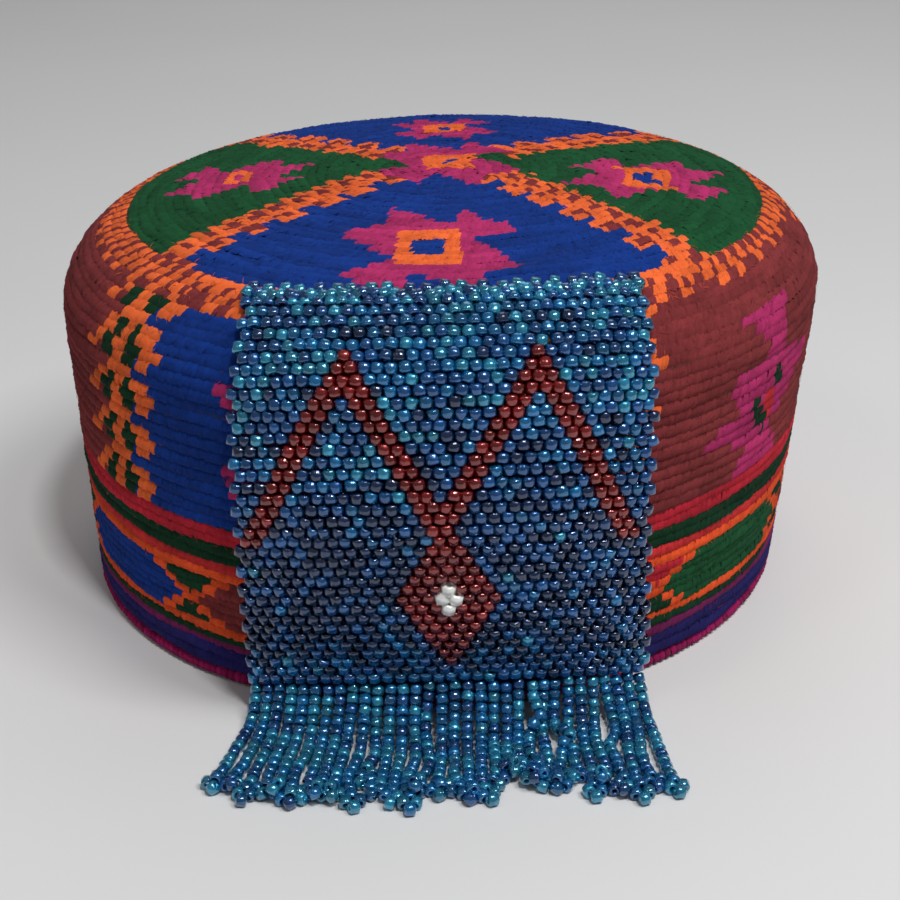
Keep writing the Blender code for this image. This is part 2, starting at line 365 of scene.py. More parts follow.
@dataclass(frozen=True)
class WallPattern:
    """Vines and starred panels of the wall.

    Each vine is read from the chart, in cells of some degrees and rows of some millimetres, down from its
    node. It leans by some degrees for each millimetre of climb. A star stands in each panel between two vines.
    """

    vines: tuple[float, ...] = (-140.6, -68.6, 3.4, 75.4, 147.4)
    panels: tuple[Wool, ...] = GROUNDS
    chart: tuple[str, ...] = (
        "..........oooooooo........",
        "......oooogggoooggoooooo..",
        "....oooggggoooogggggoooooo",
        "ooooo..ggggoooogggg.oooo..",
    )
    chart_left: int = 13
    cell: float = 0.72
    row: float = 2.87
    node: float = 91.4
    lean: float = 0.09
    star_climb: float = 62.0
    star_turn: float = 30.8
    front: int = 0
    front_star: Star = Star(1.5, 68.0, 2, 1.08, (4.0, 5.0), (1.8, 2.4))
    mm_per_degree: float = 1.7

    def colour(self, turn: float, climb: float) -> Wool:
        """Pick the yarn of one stitch.

        Args:
            turn: Turn about the axis, in degrees.
            climb: Length of outline from the rim.

        Returns:
            The yarn.
        """
        lean = (climb - self.node) * self.lean
        for vine in self.vines:
            found = self.vine(apart(turn, vine + lean), climb)
            if found:
                return found
        number = int((turn - lean - self.vines[0]) % 360 // (360 / len(self.vines)))
        across = apart(turn, self.vines[number] + self.star_turn) * self.mm_per_degree
        if number == self.front:
            return self.front_star.colour(across, climb) or self.panels[number]
        return self.star(across, climb - self.star_climb) or self.panels[number]

    def star(self, across: float, up: float) -> Wool | None:
        """Pick the yarn of a tall star.

        Args:
            across: Length to the right of its middle.
            up: Length above its middle.

        Returns:
            The yarn, or None outside the star.
        """
        if inside(across, up, LEAF_HIGH) or inside(across, up, LEAF_LOW):
            return Wool.DEEP_GREEN
        if inside(across, up, LEAF_EYE):
            return Wool.RED
        return Wool.MAGENTA if inside(across, up, TALL_STAR) else None

    def vine(self, away: float, climb: float) -> Wool | None:
        """Pick the yarn of a vine from its chart.

        Args:
            away: Turn from the vine's spine, in degrees.
            climb: Length of outline from the rim.

        Returns:
            The yarn, or None beside the vine.
        """
        column = math.floor(away / self.cell) + self.chart_left
        line = self.chart[math.floor((self.node - climb) / self.row) % len(self.chart)]
        if not 0 <= column < len(line):
            return None
        mark = Mark(line[column])
        return {Mark.ORANGE: Wool.ORANGE, Mark.GREEN: Wool.DEEP_GREEN}.get(mark)


@dataclass(frozen=True)
class CrownPattern:
    """Stars, stepped bands and the border of the top, with the wall's own pattern below them.

    The border has a row of dots, then clumps with dark specks. A dot or a clump is a share of one repeat, and
    a speck shows where a wave along and up the border rises over a level.
    """

    form: CapForm
    wall: WallPattern
    stars: tuple[Star, ...] = (
        Star(-4.0, -57.0, 0, 1.03, (7.5, 9.8), (3.8, 5.0)),
        Star(2.0, 6.0, 2, 0.9, (6.6, 7.0), (1.3, 1.8)),
        Star(52.5, -7.5, 1, 0.88, (6.4, 9.0), (2.6, 4.4)),
        Star(-53.0, 5.0, 3, 0.78, (4.0, 5.4), (1.1, 2.4), Wool.MAGENTA),
        Star(2.0, 48.0, 2, 0.74, (6.0, 6.4), (1.4, 2.2)),
    )
    bands: tuple[Band, ...] = (
        Band((-14.0, -4.0), -138.0, 1),
        Band((13.0, -6.0), -51.0, -1),
        Band((15.0, 14.0), 31.0, 1),
        Band((-13.0, 16.0), 138.0, -1),
    )
    border_low: float = 96.8
    border_high: float = 106.2
    border_sway: float = 1.3
    dot_row: float = 2.5
    clump_row: float = 5.0
    clump: float = 6.4
    clump_stray: float = 0.14
    clump_rate: float = 2.4
    clump_share: float = 0.62
    dot: tuple[float, float] = (0.1, 0.46)
    dab: float = 1.15
    speck_rates: tuple[float, float] = (2.1, 4.7)
    speck_level: float = 0.45
    side_turns: float = 47.0
    middle_y: float = 5.0

    def colour(self, turn: float, climb: float) -> Wool:
        """Pick the yarn of one stitch.

        Args:
            turn: Turn about the axis, in degrees.
            climb: Length of outline from the rim.

        Returns:
            The yarn.
        """
        if climb < self.border_low:
            return self.wall.colour(turn, climb)
        high = self.border_high - self.border_sway * math.cos(math.radians(turn))
        if climb < high:
            return self.border(turn, climb - self.border_low, high - climb)
        reach = float(self.form.at(climb)[0])
        x = reach * math.cos(math.radians(turn))
        y = reach * math.sin(math.radians(turn))
        for part in (*self.stars, *self.bands):
            found = part.colour(x, y)
            if found:
                return found
        places = [band.place(x, y) for band in self.bands]
        angles = [math.atan2(across, ahead) for ahead, across in places if ahead > 0]
        if angles:
            return Wool.BLUE if min(angles, key=abs) > 0 else Wool.GREEN
        return Wool.GREEN if abs(x) > abs(y - self.middle_y) else Wool.BLUE

    def border(self, turn: float, up: float, left: float) -> Wool:
        """Pick the yarn of the border between top and wall.

        Args:
            turn: Turn about the axis, in degrees.
            up: Length of outline from the border's foot.
            left: Length of outline to the border's upper edge.

        Returns:
            The yarn.
        """
        number = math.floor(turn / self.clump)
        beat = (turn / self.clump + self.clump_stray * math.sin(number * self.clump_rate)) % 1.0
        if up < self.dot_row:
            return Wool.ORANGE if self.dot[0] < beat < self.dot[1] else Wool.MAROON
        across = math.floor(turn / self.dab) * self.speck_rates[0]
        speck = math.sin(across + math.floor(up / self.dot_row) * self.speck_rates[1]) > self.speck_level
        sideways = min(abs(apart(turn, 0.0)), abs(apart(turn, 180.0))) < self.side_turns
        if up < self.clump_row:
            open_clump = beat < self.clump_share or sideways
            return Wool.ORANGE if open_clump and not speck else Wool.MAROON
        if left < self.dot_row:
            return Wool.MAROON if speck and sideways else Wool.ORANGE
        return Wool.MAROON if speck else Wool.ORANGE


@dataclass(frozen=True)
class HemPattern:
    """Cartouches of the hem, between lines that cross once a period, with a coloured ground in each."""

    period: float = 36.0
    crossing: float = -58.0
    low: float = 14.9
    high: float = 30.6
    colours: tuple[Wool, ...] = GROUNDS
    first_turn: float = -166.5
    line_half: float = 2.2
    reach: float = 13.0
    crimson_every: int = 4
    mm_per_degree: float = 1.65

    def colour(self, turn: float, climb: float) -> Wool:
        """Pick the yarn of one cartouche stitch.

        Args:
            turn: Turn about the axis, in degrees.
            climb: Length of outline from the rim.

        Returns:
            The yarn.
        """
        number = round(apart(turn, self.crossing) / self.period)
        away = abs(apart(turn, self.crossing + number * self.period)) * self.mm_per_degree
        middle = (self.low + self.high) / 2
        slope = abs(climb - middle) / (self.high - self.low) * 2 * self.reach
        if abs(away - slope) < self.line_half:
            return Wool.FLAME
        if away < slope:
            return Wool.DEEP_GREEN if number % self.crimson_every or climb < middle else Wool.CRIMSON
        field_number = int((turn - self.first_turn) % 360 // self.period)
        return self.colours[field_number % len(self.colours)]


@dataclass(frozen=True)
class Row:
    """One row of stitches: its height and its yarn, or no yarn where the chart gives it."""

    height: float
    yarn: Wool | None = None


class NodeMaker:
    """Adds nodes to one node tree and joins them."""

    def __init__(self, tree: bpy.types.NodeTree) -> None:
        """Keep the node tree."""
        self.tree = tree

    def add(self, kind: str, settings: dict[str, object] | None = None, **links: object) -> bpy.types.Node:
        """Add a node and join its inputs.

        Args:
            kind: The node's type.
            settings: The node's own properties.
            links: Sockets or values for its inputs, each by name with blanks as underscores.

        Returns:
            The node.
        """
        node = self.tree.nodes.new(kind)
        for key, value in (settings or {}).items():
            setattr(node, key, value)
        for key, value in links.items():
            name = key.replace("_", " ")
            self.join(value, next(s for s in node.inputs if s.name == name and s.enabled))
        return node

    def join(self, value: object, socket: Socket) -> None:
        """Link a socket or set a value.

        Args:
            value: A socket to link, or a plain value.
            socket: The input that takes it.
        """
        if isinstance(value, Socket):
            self.tree.links.new(value, socket)
        else:
            socket.default_value = value

    def vector(self, operation: str, first: object, second: object, third: object = None) -> Socket:
        """Add a Vector Math node.

        Args:
            operation: The node's operation.
            first: First value or socket.
            second: Second value or socket, the scale of SCALE.
            third: Third value or socket.

        Returns:
            Its result.
        """
        node = self.add("ShaderNodeVectorMath", {"operation": operation})
        self.join(first, node.inputs[0])
        self.join(second, node.inputs["Scale" if operation == "SCALE" else 1])
        if third is not None:
            self.join(third, node.inputs[2])
        return node.outputs[0]


class Tree(NodeMaker):
    """One Geometry Nodes tree with named inputs, which lays an instance on each point."""

    def __init__(self, name: str) -> None:
        """Start an empty tree.

        Args:
            name: The tree's name.
        """
        super().__init__(bpy.data.node_groups.new(name, "GeometryNodeTree"))
        self.tree.interface.new_socket("Geometry", in_out="INPUT", socket_type="NodeSocketGeometry")
        self.tree.interface.new_socket("Geometry", in_out="OUTPUT", socket_type="NodeSocketGeometry")
        self.start = self.tree.nodes.new("NodeGroupInput")
        self.end = self.tree.nodes.new("NodeGroupOutput")

    def take(self, kind: str, *names: str) -> list[Socket]:
        """Add named inputs of one kind.

        Args:
            kind: Float, Int or Material.
            names: The inputs' names.

        Returns:
            The sockets inside the tree.
        """
        for name in names:
            self.tree.interface.new_socket(name, in_out="INPUT", socket_type=f"NodeSocket{kind}")
        return [self.start.outputs[name] for name in names]

    def math(self, operation: str, *values: object) -> Socket:
        """Add a Math node.

        Args:
            operation: The node's operation.
            values: Its values or sockets in order.

        Returns:
            Its result.
        """
        node = self.add("ShaderNodeMath", {"operation": operation})
        for value, socket in zip(values, node.inputs):
            self.join(value, socket)
        return node.outputs[0]

    def parts(self, vector: Socket) -> tuple[Socket, Socket, Socket]:
        """Split a vector into its three parts."""
        return tuple(self.add("ShaderNodeSeparateXYZ", Vector=vector).outputs)

    def whole(self, **parts: object) -> Socket:
        """Join up to three parts into a vector."""
        return self.add("ShaderNodeCombineXYZ", **parts).outputs[0]

    def attribute(self, name: str, kind: str = "FLOAT") -> Socket:
        """Read a named attribute of a kind, FLOAT or FLOAT_VECTOR."""
        node = self.add("GeometryNodeInputNamedAttribute", {"data_type": kind}, Name=name)
        return node.outputs["Attribute"]

    def store(self, geometry: Socket, name: str, value: Socket, domain: str, kind: str = "FLOAT") -> Socket:
        """Write a named attribute.

        Args:
            geometry: What carries it.
            name: The attribute's name.
            value: Its value.
            domain: POINT, CORNER or INSTANCE.
            kind: FLOAT or FLOAT2.

        Returns:
            The geometry with the attribute.
        """
        kinds = {"data_type": kind, "domain": domain}
        node = self.add("GeometryNodeStoreNamedAttribute", kinds, Geometry=geometry, Name=name, Value=value)
        return node.outputs[0]

    def chance(self, low: object, high: object, seed: Socket, kind: str = "FLOAT") -> Socket:
        """Draw a value between two others for each point, of a kind, FLOAT or FLOAT_VECTOR."""
        node = self.add("FunctionNodeRandomValue", {"data_type": kind}, Min=low, Max=high, Seed=seed)
        return next(s for s in node.outputs if s.enabled)

    def stray(self, size: Socket, seed: Socket) -> Socket:
        """Draw a vector for each point, with parts up to a size either way."""
        return self.vector("SCALE", self.chance((-1.0,) * 3, (1.0,) * 3, seed, "FLOAT_VECTOR"), size)

    def facing(self, up: str, ahead: str, jitter: Socket, seed: Socket) -> Socket:
        """Turn an instance to two attributes and then a little by chance.

        Args:
            up: The attribute that its Z axis follows.
            ahead: The attribute that its X axis follows.
            jitter: Greatest stray turn.
            seed: The seed.

        Returns:
            The rotation.
        """
        frame = self.add(
            "FunctionNodeAxesToRotation",
            {"primary_axis": "Z", "secondary_axis": "X"},
            Primary_Axis=self.attribute(up, "FLOAT_VECTOR"),
            Secondary_Axis=self.attribute(ahead, "FLOAT_VECTOR"),
        )
        turned = self.add("FunctionNodeRotateRotation", {"rotation_space": "LOCAL"})
        self.join(frame.outputs[0], turned.inputs[0])
        self.join(self.stray(jitter, seed), turned.inputs[1])
        return turned.outputs[0]

    def lay(self, shape: Socket, rotation: Socket, scale: Socket, tone: Socket, material: Socket) -> None:
        """Lay the shape on each point, realize it, give it its material and end the tree.

        Args:
            shape: The geometry to lay.
            rotation: Its turn.
            scale: Its size.
            tone: How light it is, kept as an attribute.
            material: Its material.
        """
        points = self.start.outputs["Geometry"]
        laid = self.add(
            "GeometryNodeInstanceOnPoints", Points=points, Instance=shape, Rotation=rotation, Scale=scale
        )
        toned = self.store(laid.outputs[0], "tone", tone, "INSTANCE")
        real = self.add("GeometryNodeRealizeInstances", Geometry=toned)
        dressed = self.add("GeometryNodeSetMaterial", Geometry=real.outputs[0], Material=material)
        self.join(dressed.outputs[0], self.end.inputs[0])


class StrandTree(Tree):
    """Lays one bowed strand of yarn on each point."""

    TAPER_POWER = 3.0

    def __init__(self) -> None:
        """Build the tree."""
        super().__init__("yarn_strands")
        length, width, height, bend, tip = self.take("Float", "Length", "Width", "Height", "Bend", "Tip")
        steps, sides, seed = self.take("Int", "Steps", "Sides", "Seed")
        size_jitter, turn_jitter = self.take("Float", "Size jitter", "Turn jitter")
        material, = self.take("Material", "Material")
        sheet = self.add("GeometryNodeMeshGrid", Size_X=2.0, Size_Y=2.0, Vertices_X=steps, Vertices_Y=sides)
        mapped = self.store(sheet.outputs["Mesh"], "strand", sheet.outputs["UV Map"], "CORNER", "FLOAT2")
        place = self.bowed(length, width, height, bend, tip)
        strand = self.add("GeometryNodeSetPosition", Geometry=mapped, Position=place)
        smooth = self.add("GeometryNodeSetShadeSmooth", Geometry=strand.outputs[0])
        swell = self.math("ADD", 1.0, self.math("MULTIPLY", size_jitter, self.chance(-1.0, 1.0, seed)))
        reach = self.math("MULTIPLY", self.attribute("span"), swell)
        girth = self.math("MULTIPLY", self.attribute("girth"), swell)
        turned = self.facing("outward", "along", turn_jitter, seed)
        size = self.whole(X=reach, Y=girth, Z=reach)
        self.lay(smooth.outputs[0], turned, size, self.attribute("shade"), material)

    def bowed(self, length: Socket, width: Socket, height: Socket, bend: Socket, tip: Socket) -> Socket:
        """Place a flat grid's points on a half round strand, bowed over its length and thin at both ends.

        Args:
            length: Length along its bow.
            width: Width across it.
            height: Height of its half round.
            bend: Angle that it turns through.
            tip: Share of its width at the ends.

        Returns:
            The points' places.
        """
        along, sideways, _ = self.parts(self.add("GeometryNodeInputPosition").outputs[0])
        across = self.math("MULTIPLY", sideways, math.pi / 2)
        fall = self.math("POWER", self.math("ABSOLUTE", along), self.TAPER_POWER)
        taper = self.math("SUBTRACT", 1.0, self.math("MULTIPLY", fall, self.math("SUBTRACT", 1.0, tip)))
        radius = self.math("DIVIDE", length, bend)
        crown = self.math("MULTIPLY", self.math("MULTIPLY", self.math("COSINE", across), height), taper)
        reach = self.math("ADD", radius, crown)
        angle = self.math("MULTIPLY", self.math("MULTIPLY", along, bend), 0.5)
        half = self.math("MULTIPLY", self.math("MULTIPLY", width, 0.5), taper)
        return self.whole(
            X=self.math("MULTIPLY", reach, self.math("SINE", angle)),
            Y=self.math("MULTIPLY", half, self.math("SINE", across)),
            Z=self.math("SUBTRACT", self.math("MULTIPLY", reach, self.math("COSINE", angle)), radius),
        )


class BeadTree(Tree):
    """Threads one squarish glass bead on each point.

    Half its wall's thickness is a quarter of the width less the hole, and the middle of the wall is a quarter
    of the width and the hole together from the hole's axis.
    """

    QUARTER = 0.25
    SECTION_TURN = math.pi / 6
    SQUARENESS = 0.5
    LINING_DEPTH = 0.4

    def __init__(self) -> None:
        """Build the tree."""
        super().__init__("threaded_beads")
        width, height, hole = self.take("Float", "Width", "Height", "Hole")
        sides, rings, seed = self.take("Int", "Sides", "Rings", "Seed")
        size_jitter, turn_jitter = self.take("Float", "Size jitter", "Turn jitter")
        material, = self.take("Material", "Material")
        middle = self.math("MULTIPLY", self.math("ADD", width, hole), self.QUARTER)
        half = self.math("MULTIPLY", self.math("SUBTRACT", width, hole), self.QUARTER)
        path = self.add("GeometryNodeCurvePrimitiveCircle", Resolution=sides, Radius=middle)
        section = self.section(rings, half, self.math("MULTIPLY", height, 0.5))
        glass = self.add("GeometryNodeCurveToMesh", Curve=path.outputs[0], Profile_Curve=section)
        x, y, _ = self.parts(self.add("GeometryNodeInputPosition").outputs[0])
        away = self.math("SQRT", self.math("ADD", self.math("MULTIPLY", x, x), self.math("MULTIPLY", y, y)))
        edge = self.math("SUBTRACT", middle, self.math("MULTIPLY", half, self.LINING_DEPTH))
        lined = self.store(glass.outputs[0], "lining", self.math("LESS_THAN", away, edge), "POINT")
        smooth = self.add("GeometryNodeSetShadeSmooth", Geometry=lined)
        turned = self.facing("along", "outward", turn_jitter, seed)
        size = self.vector("ADD", self.stray(size_jitter, seed), (1.0, 1.0, 1.0))
        self.lay(smooth.outputs[0], turned, size, self.chance(0.0, 1.0, seed), material)

    def section(self, rings: Socket, half_width: Socket, half_height: Socket) -> Socket:
        """Make the outline of the bead's wall, a round pressed nearly square.

        Args:
            rings: Points round it.
            half_width: Half the wall's thickness.
            half_height: Half the bead's height.

        Returns:
            The closed curve.
        """
        plain = self.add("GeometryNodeCurvePrimitiveCircle", Resolution=rings, Radius=1.0)
        turn = (0.0, 0.0, self.SECTION_TURN)
        level = self.add("GeometryNodeTransform", Geometry=plain.outputs[0], Rotation=turn)
        x, y, _ = self.parts(self.add("GeometryNodeInputPosition").outputs[0])
        across = self.math("MULTIPLY", x, 1 / math.cos(self.SECTION_TURN))
        rise = self.math("POWER", self.math("ABSOLUTE", y), self.SQUARENESS)
        square = self.whole(X=across, Y=self.math("MULTIPLY", rise, self.math("SIGN", y)))
        squared = self.add("GeometryNodeSetPosition", Geometry=level.outputs[0], Position=square)
        size = self.whole(X=half_width, Y=half_height, Z=1.0)
        return self.add("GeometryNodeTransform", Geometry=squared.outputs[0], Scale=size).outputs[0]


@dataclass(frozen=True)
class Shape:
    """What a tree lays, with its sizes named as the tree's inputs are."""

    def values(self, material: Material, seed: int, **more: float) -> dict[str, object]:
        """Name the tree's inputs.

        Args:
            material: What the shape is made of.
            seed: The seed of its small differences.
            more: Sizes that the shape leaves open.

        Returns:
            The inputs by name, with lengths in metres.
        """
        inputs = {"Seed": seed, "Material": material}
        for key, value in {**vars(self), **more}.items():
            inputs[key.replace("_", " ").capitalize()] = value * MM if key in LENGTHS else value
        return inputs


@dataclass(frozen=True)
class StrandShape(Shape):
    """A strand's shape, for a stitch whose span and girth are 1."""

    width: float = 1.6
    height: float = 0.12
    bend: float = 1.6
    tip: float = 0.92
    steps: int = 5
    sides: int = 3
    size_jitter: float = 0.06
    turn_jitter: float = 0.06


@dataclass(frozen=True)
class BeadShape(Shape):
    """A glass bead's shape."""

    width: float
    height: float
    hole: float = 0.9
    sides: int = 9
    rings: int = 6
    size_jitter: float = 0.06
    turn_jitter: float = 0.24


class Paint(NodeMaker):
    """Builds one node material on a Principled shader."""

    def __init__(self, name: str) -> None:
        """Start the material.

        Args:
            name: The material's name.
        """
        self.material = bpy.data.materials.new(name)
        self.material.use_nodes = True
        super().__init__(self.material.node_tree)
        self.shader = self.tree.nodes["Principled BSDF"]
        self.place = self.add("ShaderNodeTexCoord").outputs["Object"]

    def attribute(self, name: str, output: str = "Fac") -> Socket:
        """Read a mesh attribute as Fac or Color."""
        return self.add("ShaderNodeAttribute", {"attribute_name": name}).outputs[output]

    def noise(self, place: Socket, scale: float, detail: float, roughness: float = 0.5) -> Socket:
        """Add a noise texture, with its number of finer layers and their strength."""
        sizes = {"Scale": scale, "Detail": detail, "Roughness": roughness}
        return self.add("ShaderNodeTexNoise", Vector=place, **sizes).outputs[0]

    def set(self, **values: object) -> None:
        """Set or link the shader's inputs, each by name with blanks as underscores."""
        for key, value in values.items():
            self.join(value, self.shader.inputs[key.replace("_", " ")])

    def relief(self, height: Socket, strength: float, depth: float) -> Socket:
        """Turn a height into a surface direction."""
        return self.add("ShaderNodeBump", Height=height, Strength=strength, Distance=depth).outputs[0]

    def spread(self, value: Socket, low: float, high: float) -> Socket:
        """Stretch a value of 0 to 1 between two others."""
        return self.add("ShaderNodeMapRange", Value=value, To_Min=low, To_Max=high).outputs[0]

    def shade(self, colour: object, value: Socket, low: float, high: float) -> Socket:
        """Multiply a colour's brightness by an amount between two others, as a value of 0 to 1 says."""
        amount = self.spread(value, low, high)
        return self.add("ShaderNodeHueSaturation", Color=colour, Value=amount).outputs[0]


@dataclass(frozen=True)
class WoolFinish:
    """Soft hand-spun wool, taken from the colour attribute, with fibres along each strand."""

    name: str
    roughness: float = 0.92
    sheen: float = 0.02
    sheen_roughness: float = 0.6
    specular: float = 0.08
    tone: tuple[float, float] = (0.7, 1.3)
    mottle_scale: float = 420.0
    mottle: tuple[float, float] = (0.84, 1.16)
    fibres: tuple[float, float, float] = (2.5, 14.0, 1.0)
    fibre_turn: float = 0.02
    fibre_tone: tuple[float, float] = (0.7, 1.3)
    place_share: float = 60.0
    fineness: float = 0.6
    bump: float = 0.8
    bump_depth: float = 0.00022

    def material(self) -> Material:
        """Build the material.

        Returns:
            The material.
        """
        paint = Paint(self.name)
        strand = paint.add("ShaderNodeUVMap", {"uv_map": "strand"}).outputs[0]
        turn = (0.0, 0.0, self.fibre_turn)
        fibres = paint.add("ShaderNodeMapping", Vector=strand, Scale=self.fibres, Rotation=turn).outputs[0]
        offset = paint.vector("MULTIPLY_ADD", paint.place, (self.place_share,) * 3, fibres)
        ply = paint.noise(offset, 1.0, 2.0, self.fineness)
        mottle = paint.noise(paint.place, self.mottle_scale, 2.0, self.fineness)
        yarn = paint.shade(paint.attribute("wool", "Color"), paint.attribute("tone"), *self.tone)
        yarn = paint.shade(yarn, mottle, *self.mottle)
        paint.set(
            Base_Color=paint.shade(yarn, ply, *self.fibre_tone),
            Roughness=self.roughness,
            Sheen_Weight=self.sheen,
            Sheen_Roughness=self.sheen_roughness,
            Specular_IOR_Level=self.specular,
            Normal=paint.relief(ply, self.bump, self.bump_depth),
        )
        return paint.material


@dataclass(frozen=True)
class ClothFinish:
    """Woven cotton that carries the stitches."""

    name: str
    thread: float = 0.45
    weave: float = 6.0
    unevenness: float = 1.5
    tone: tuple[float, float] = (0.75, 1.2)
    roughness: float = 0.92
    bump: float = 0.5
    bump_depth: float = 0.0001

    def material(self) -> Material:
        """Build the material.

        Returns:
            The material.
        """
        paint = Paint(self.name)
        scale = 1 / (self.thread * MM)
        waves = {"Scale": scale / self.weave, "Distortion": self.unevenness, "Detail": 1.0}
        threads = paint.add("ShaderNodeTexWave", Vector=paint.place, **waves)
        grain = paint.noise(paint.place, scale, 2.0)
        paint.set(
            Base_Color=paint.shade(paint.attribute("wool", "Color"), grain, *self.tone),
            Roughness=self.roughness,
            Normal=paint.relief(threads.outputs[1], self.bump, self.bump_depth),
        )
        return paint.material


@dataclass(frozen=True)
class GlassFinish:
    """Small silver-lined glass beads, taken from the colour attribute."""

    name: str
    clearness: float = 0.3
    silver: float = 0.45
    lining_silver: float = 0.9
    rough: tuple[float, float] = (0.1, 0.24)
    specular: float = 0.9
    coat: float = 1.0
    coat_roughness: float = 0.06
    refraction: float = 1.55
    tone: tuple[float, float] = (0.7, 1.3)
    cloud_scale: float = 700.0
    cloud: tuple[float, float] = (0.55, 1.45)
    uneven_scale: float = 900.0
    uneven: float = 0.5
    uneven_depth: float = 0.00025

    def material(self) -> Material:
        """Build the material.

        Returns:
            The material.
        """
        paint = Paint(self.name)
        tone = paint.attribute("tone")
        lining = paint.attribute("lining")
        glass = paint.shade(paint.attribute("glass", "Color"), tone, *self.tone)
        cloud = paint.noise(paint.place, self.cloud_scale, 1.0)
        uneven = paint.noise(paint.place, self.uneven_scale, 0.0)
        relief = paint.relief(uneven, self.uneven, self.uneven_depth)
        paint.set(
            Base_Color=paint.shade(glass, cloud, *self.cloud),
            Metallic=paint.spread(lining, self.silver, self.lining_silver),
            Transmission_Weight=paint.spread(lining, self.clearness, 0.0),
            Roughness=paint.spread(tone, *self.rough),
            Coat_Weight=self.coat,
            Coat_Roughness=self.coat_roughness,
            Specular_IOR_Level=self.specular,
            IOR=self.refraction,
            Normal=relief,
            Coat_Normal=relief,
        )
        return paint.material


@dataclass(frozen=True)
class FloorFinish:
    """Matt pale board."""

    name: str = "pale_board"
    colour: tuple[float, float, float, float] = (0.8, 0.8, 0.8, 1.0)
    grain_scale: float = 6.0
    grain: tuple[float, float] = (0.97, 1.03)
    roughness: float = 0.85

    def material(self) -> Material:
        """Build the material.

        Returns:
            The material.
        """
        paint = Paint(self.name)
        grain = paint.noise(paint.place, self.grain_scale, 2.0)
        paint.set(Base_Color=paint.shade(self.colour, grain, *self.grain), Roughness=self.roughness)
        return paint.material


def new_object(name: str, content: bpy.types.ID) -> Object:
    """Make an object and show it.

    Args:
        name: Its name.
        content: Its mesh, camera or light.

    Returns:
        The object.
    """
    made = bpy.data.objects.new(name, content)
    bpy.context.scene.collection.objects.link(made)
    return made


def write_attribute(mesh: bpy.types.Mesh, name: str, rows: Points) -> None:
    """Write a number, a direction or a colour for each vertex.

    Args:
        mesh: The mesh.
        name: The attribute's name.
        rows: One number, three or four a vertex.
    """
    rows = np.ascontiguousarray(rows, dtype=np.float32)
    parts = 1 if rows.ndim == 1 else rows.shape[1]
    kind, word = {1: ("FLOAT", "value"), 3: ("FLOAT_VECTOR", "vector"), 4: ("FLOAT_COLOR", "color")}[parts]
    mesh.attributes.new(name, kind, "POINT").data.foreach_set(word, rows.ravel())


def opaque(colours: Sequence[tuple[float, float, float]]) -> Points:
    """Colours with a full alpha."""
    return np.array([(*colour, 1.0) for colour in colours], dtype=np.float32)


def grow(name: str, tree: Tree, inputs: dict[str, object], places: Points, **carried: Points) -> Object:
    """Run a tree on points and keep the result as a plain mesh.

    Args:
        name: The piece's name.
        tree: The tree.
        inputs: The tree's inputs by name.
        places: One point a row.
        carried: Attributes of the points by name.

    Returns:
        The piece, without a modifier.
    """
    points = bpy.data.meshes.new(f"{name}_points")
    points.from_pydata((np.asarray(places) * MM).tolist(), [], [])
    for key, rows in carried.items():
        write_attribute(points, key, rows)
    piece = new_object(name, points)
    modifier = piece.modifiers.new(tree.tree.name, "NODES")
    modifier.node_group = tree.tree
    for item in tree.tree.interface.items_tree:
        if item.in_out == "INPUT" and item.name in inputs:
            modifier[item.identifier] = inputs[item.name]
    seen = bpy.context.evaluated_depsgraph_get()
    mesh = bpy.data.meshes.new_from_object(piece.evaluated_get(seen))
    piece.modifiers.remove(modifier)
    mesh.name = name
    piece.data = mesh
    return piece


def settle(piece: Object, slot: str, *nodes: str) -> None:
    """Attach a finished piece to the body, hide the model's nodes that it stands for, and report its
    triangles.

    Args:
        piece: The piece.
        slot: Not used.
        nodes: The model's nodes that it replaces.
    """
    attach(piece, BODY)
    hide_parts(*nodes)
    piece.data.calc_loop_triangles()
    LOG.info("%s: %d triangles", piece.name, len(piece.data.loop_triangles))


